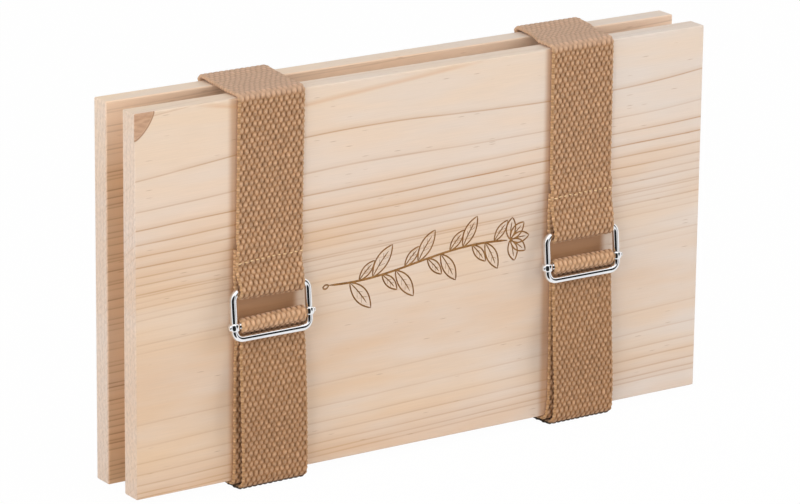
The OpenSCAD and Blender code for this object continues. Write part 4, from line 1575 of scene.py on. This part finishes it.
scorch, tree, shader = finish("laser-burnt pine")
char = add(tree, NOISE, add(tree, "ShaderNodeTexCoord", out="Object"), out="Fac",
           named={"Scale": CHAR, "Detail": 3.0})
colour = add(tree, RAMP, char, stops=[(0.3, "#8a6036"), (0.7, "#b58853")])
tree.links.new(colour, shader.inputs["Base Color"])
shader.inputs["Roughness"].default_value = 0.9
shader.inputs["IOR"].default_value = 1.5


# %% Saw, engrave and sand the boards
EASED = 0.6 * MM


def board(name, y_low, y_high, material):
    """A flat board with eased edges."""
    block = bmesh.new()
    bmesh.ops.create_cube(block, size=1.0)
    for v in block.verts:
        v.co = Vector((v.co.x * BOARD_L, (y_low + y_high) / 2 + v.co.y * (y_high - y_low),
                       BOARD_Z + (v.co.z + 0.5) * BOARD_H))
    bmesh.ops.bevel(block, geom=block.edges[:], offset=EASED, segments=3, profile=0.5,
                    affect="EDGES")
    mesh = bpy.data.meshes.new(name)
    block.to_mesh(mesh)
    block.free()
    mesh.materials.append(material)
    return mesh


def engraved(mesh, cutter):
    """The board's mesh with the cutter taken out of it."""
    host, blade = link("board blank", mesh), link("sprig cutter", cutter)
    carve = host.modifiers.new("engrave", "BOOLEAN")
    carve.object, carve.operation, carve.solver = blade, "DIFFERENCE", "EXACT"
    carve.use_self, carve.material_mode = True, "TRANSFER"
    mesh = evaluated(host)
    for item in (host, blade):
        bpy.data.objects.remove(item)
    return mesh


for name, low, high, material in (
    ("front", CENTRE_Y - FACE_Y, CENTRE_Y - HALF_GAP, front_pine),
    ("rear", CENTRE_Y + HALF_GAP, CENTRE_Y + FACE_Y, rear_pine),
):
    mesh = board(f"{name}_pine_board", low, high, material)
    if name == "front":
        cutter = cutter_mesh(SPRIG, low)
        cutter.materials.append(scorch)
        mesh = engraved(mesh, cutter)
    # Flat faces stay flat and the eased edges are smooth
    for polygon in mesh.polygons:
        polygon.use_smooth = max(abs(c) for c in polygon.normal) < 0.9999
    made = show(f"{name}_pine_board", mesh)
    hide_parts(f"{name}_board")
    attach(made, name)

# %% [markdown]
# ## Cards and sheets
# The corrugated cards and blotting sheets keep their CAD shape, flutes and all,
# because nothing about them is softer or finer than that. They need only their
# finish. Kraft card is brown and matt, with fine fibres and darker specks of
# pulp. Blotting paper is thick, soft, off-white felted cotton.

# %% Kraft card and blotting paper
SPECK_STEP = 1.6 * MM       # specks of pulp, drawn larger than real ones to show


def paper_finish(name, fine, stops, specks):
    """Matt paper. Fine is the size of its mottling, and specks how dark its
    specks are."""
    made, tree, shader = finish(name)
    place = add(tree, "ShaderNodeTexCoord", out="Object")
    felt = add(tree, NOISE, place, out="Fac",
               named={"Scale": 1 / fine, "Detail": 4.0, "Roughness": 0.65})
    colour = add(tree, RAMP, felt, stops=stops)
    dots = add(tree, "ShaderNodeTexVoronoi", place, out="Distance",
               named={"Scale": 1 / SPECK_STEP})
    spot = add(tree, RANGE, dots, 0.08, 0.16, specks, 0.0)
    colour = add(tree, MIX, named={SHARE: spot, UNDER: colour, OVER: linear("#7a5836")}, **COLOUR)
    tree.links.new(colour, shader.inputs["Base Color"])
    shader.inputs["Roughness"].default_value = 0.95
    shader.inputs["IOR"].default_value = 1.47
    bump = add(tree, "ShaderNodeBump", out="Normal",
               named={"Strength": 0.2, "Distance": 0.08 * MM, "Height": felt})
    tree.links.new(bump, shader.inputs["Normal"])
    return made


PAPERS = {
    "cardboard": paper_finish("brown kraft corrugated card", 1.2 * MM,
                              ((0.3, "#b08757"), (0.7, "#c9a274")), 0.5),
    "blotter": paper_finish("felted cotton blotting paper", 2.5 * MM,
                            ((0.3, "#ebddca"), (0.7, "#f6ecdd")), 0.05),
}
for name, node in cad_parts.items():
    material = PAPERS.get(name.split("_")[0])
    if material:
        for slot in node.material_slots:
            slot.material = material
        print(f"{name}: {material.name}")

# %% [markdown]
# ## Measure and finish
# The dressed press can be a little larger than the CAD, because webbing is soft.
# The cell prints the box of the dressed press.

# %% Measure and finish
low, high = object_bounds()
print("visual box, mm:", [round(v / MM, 1) for v in high - low])
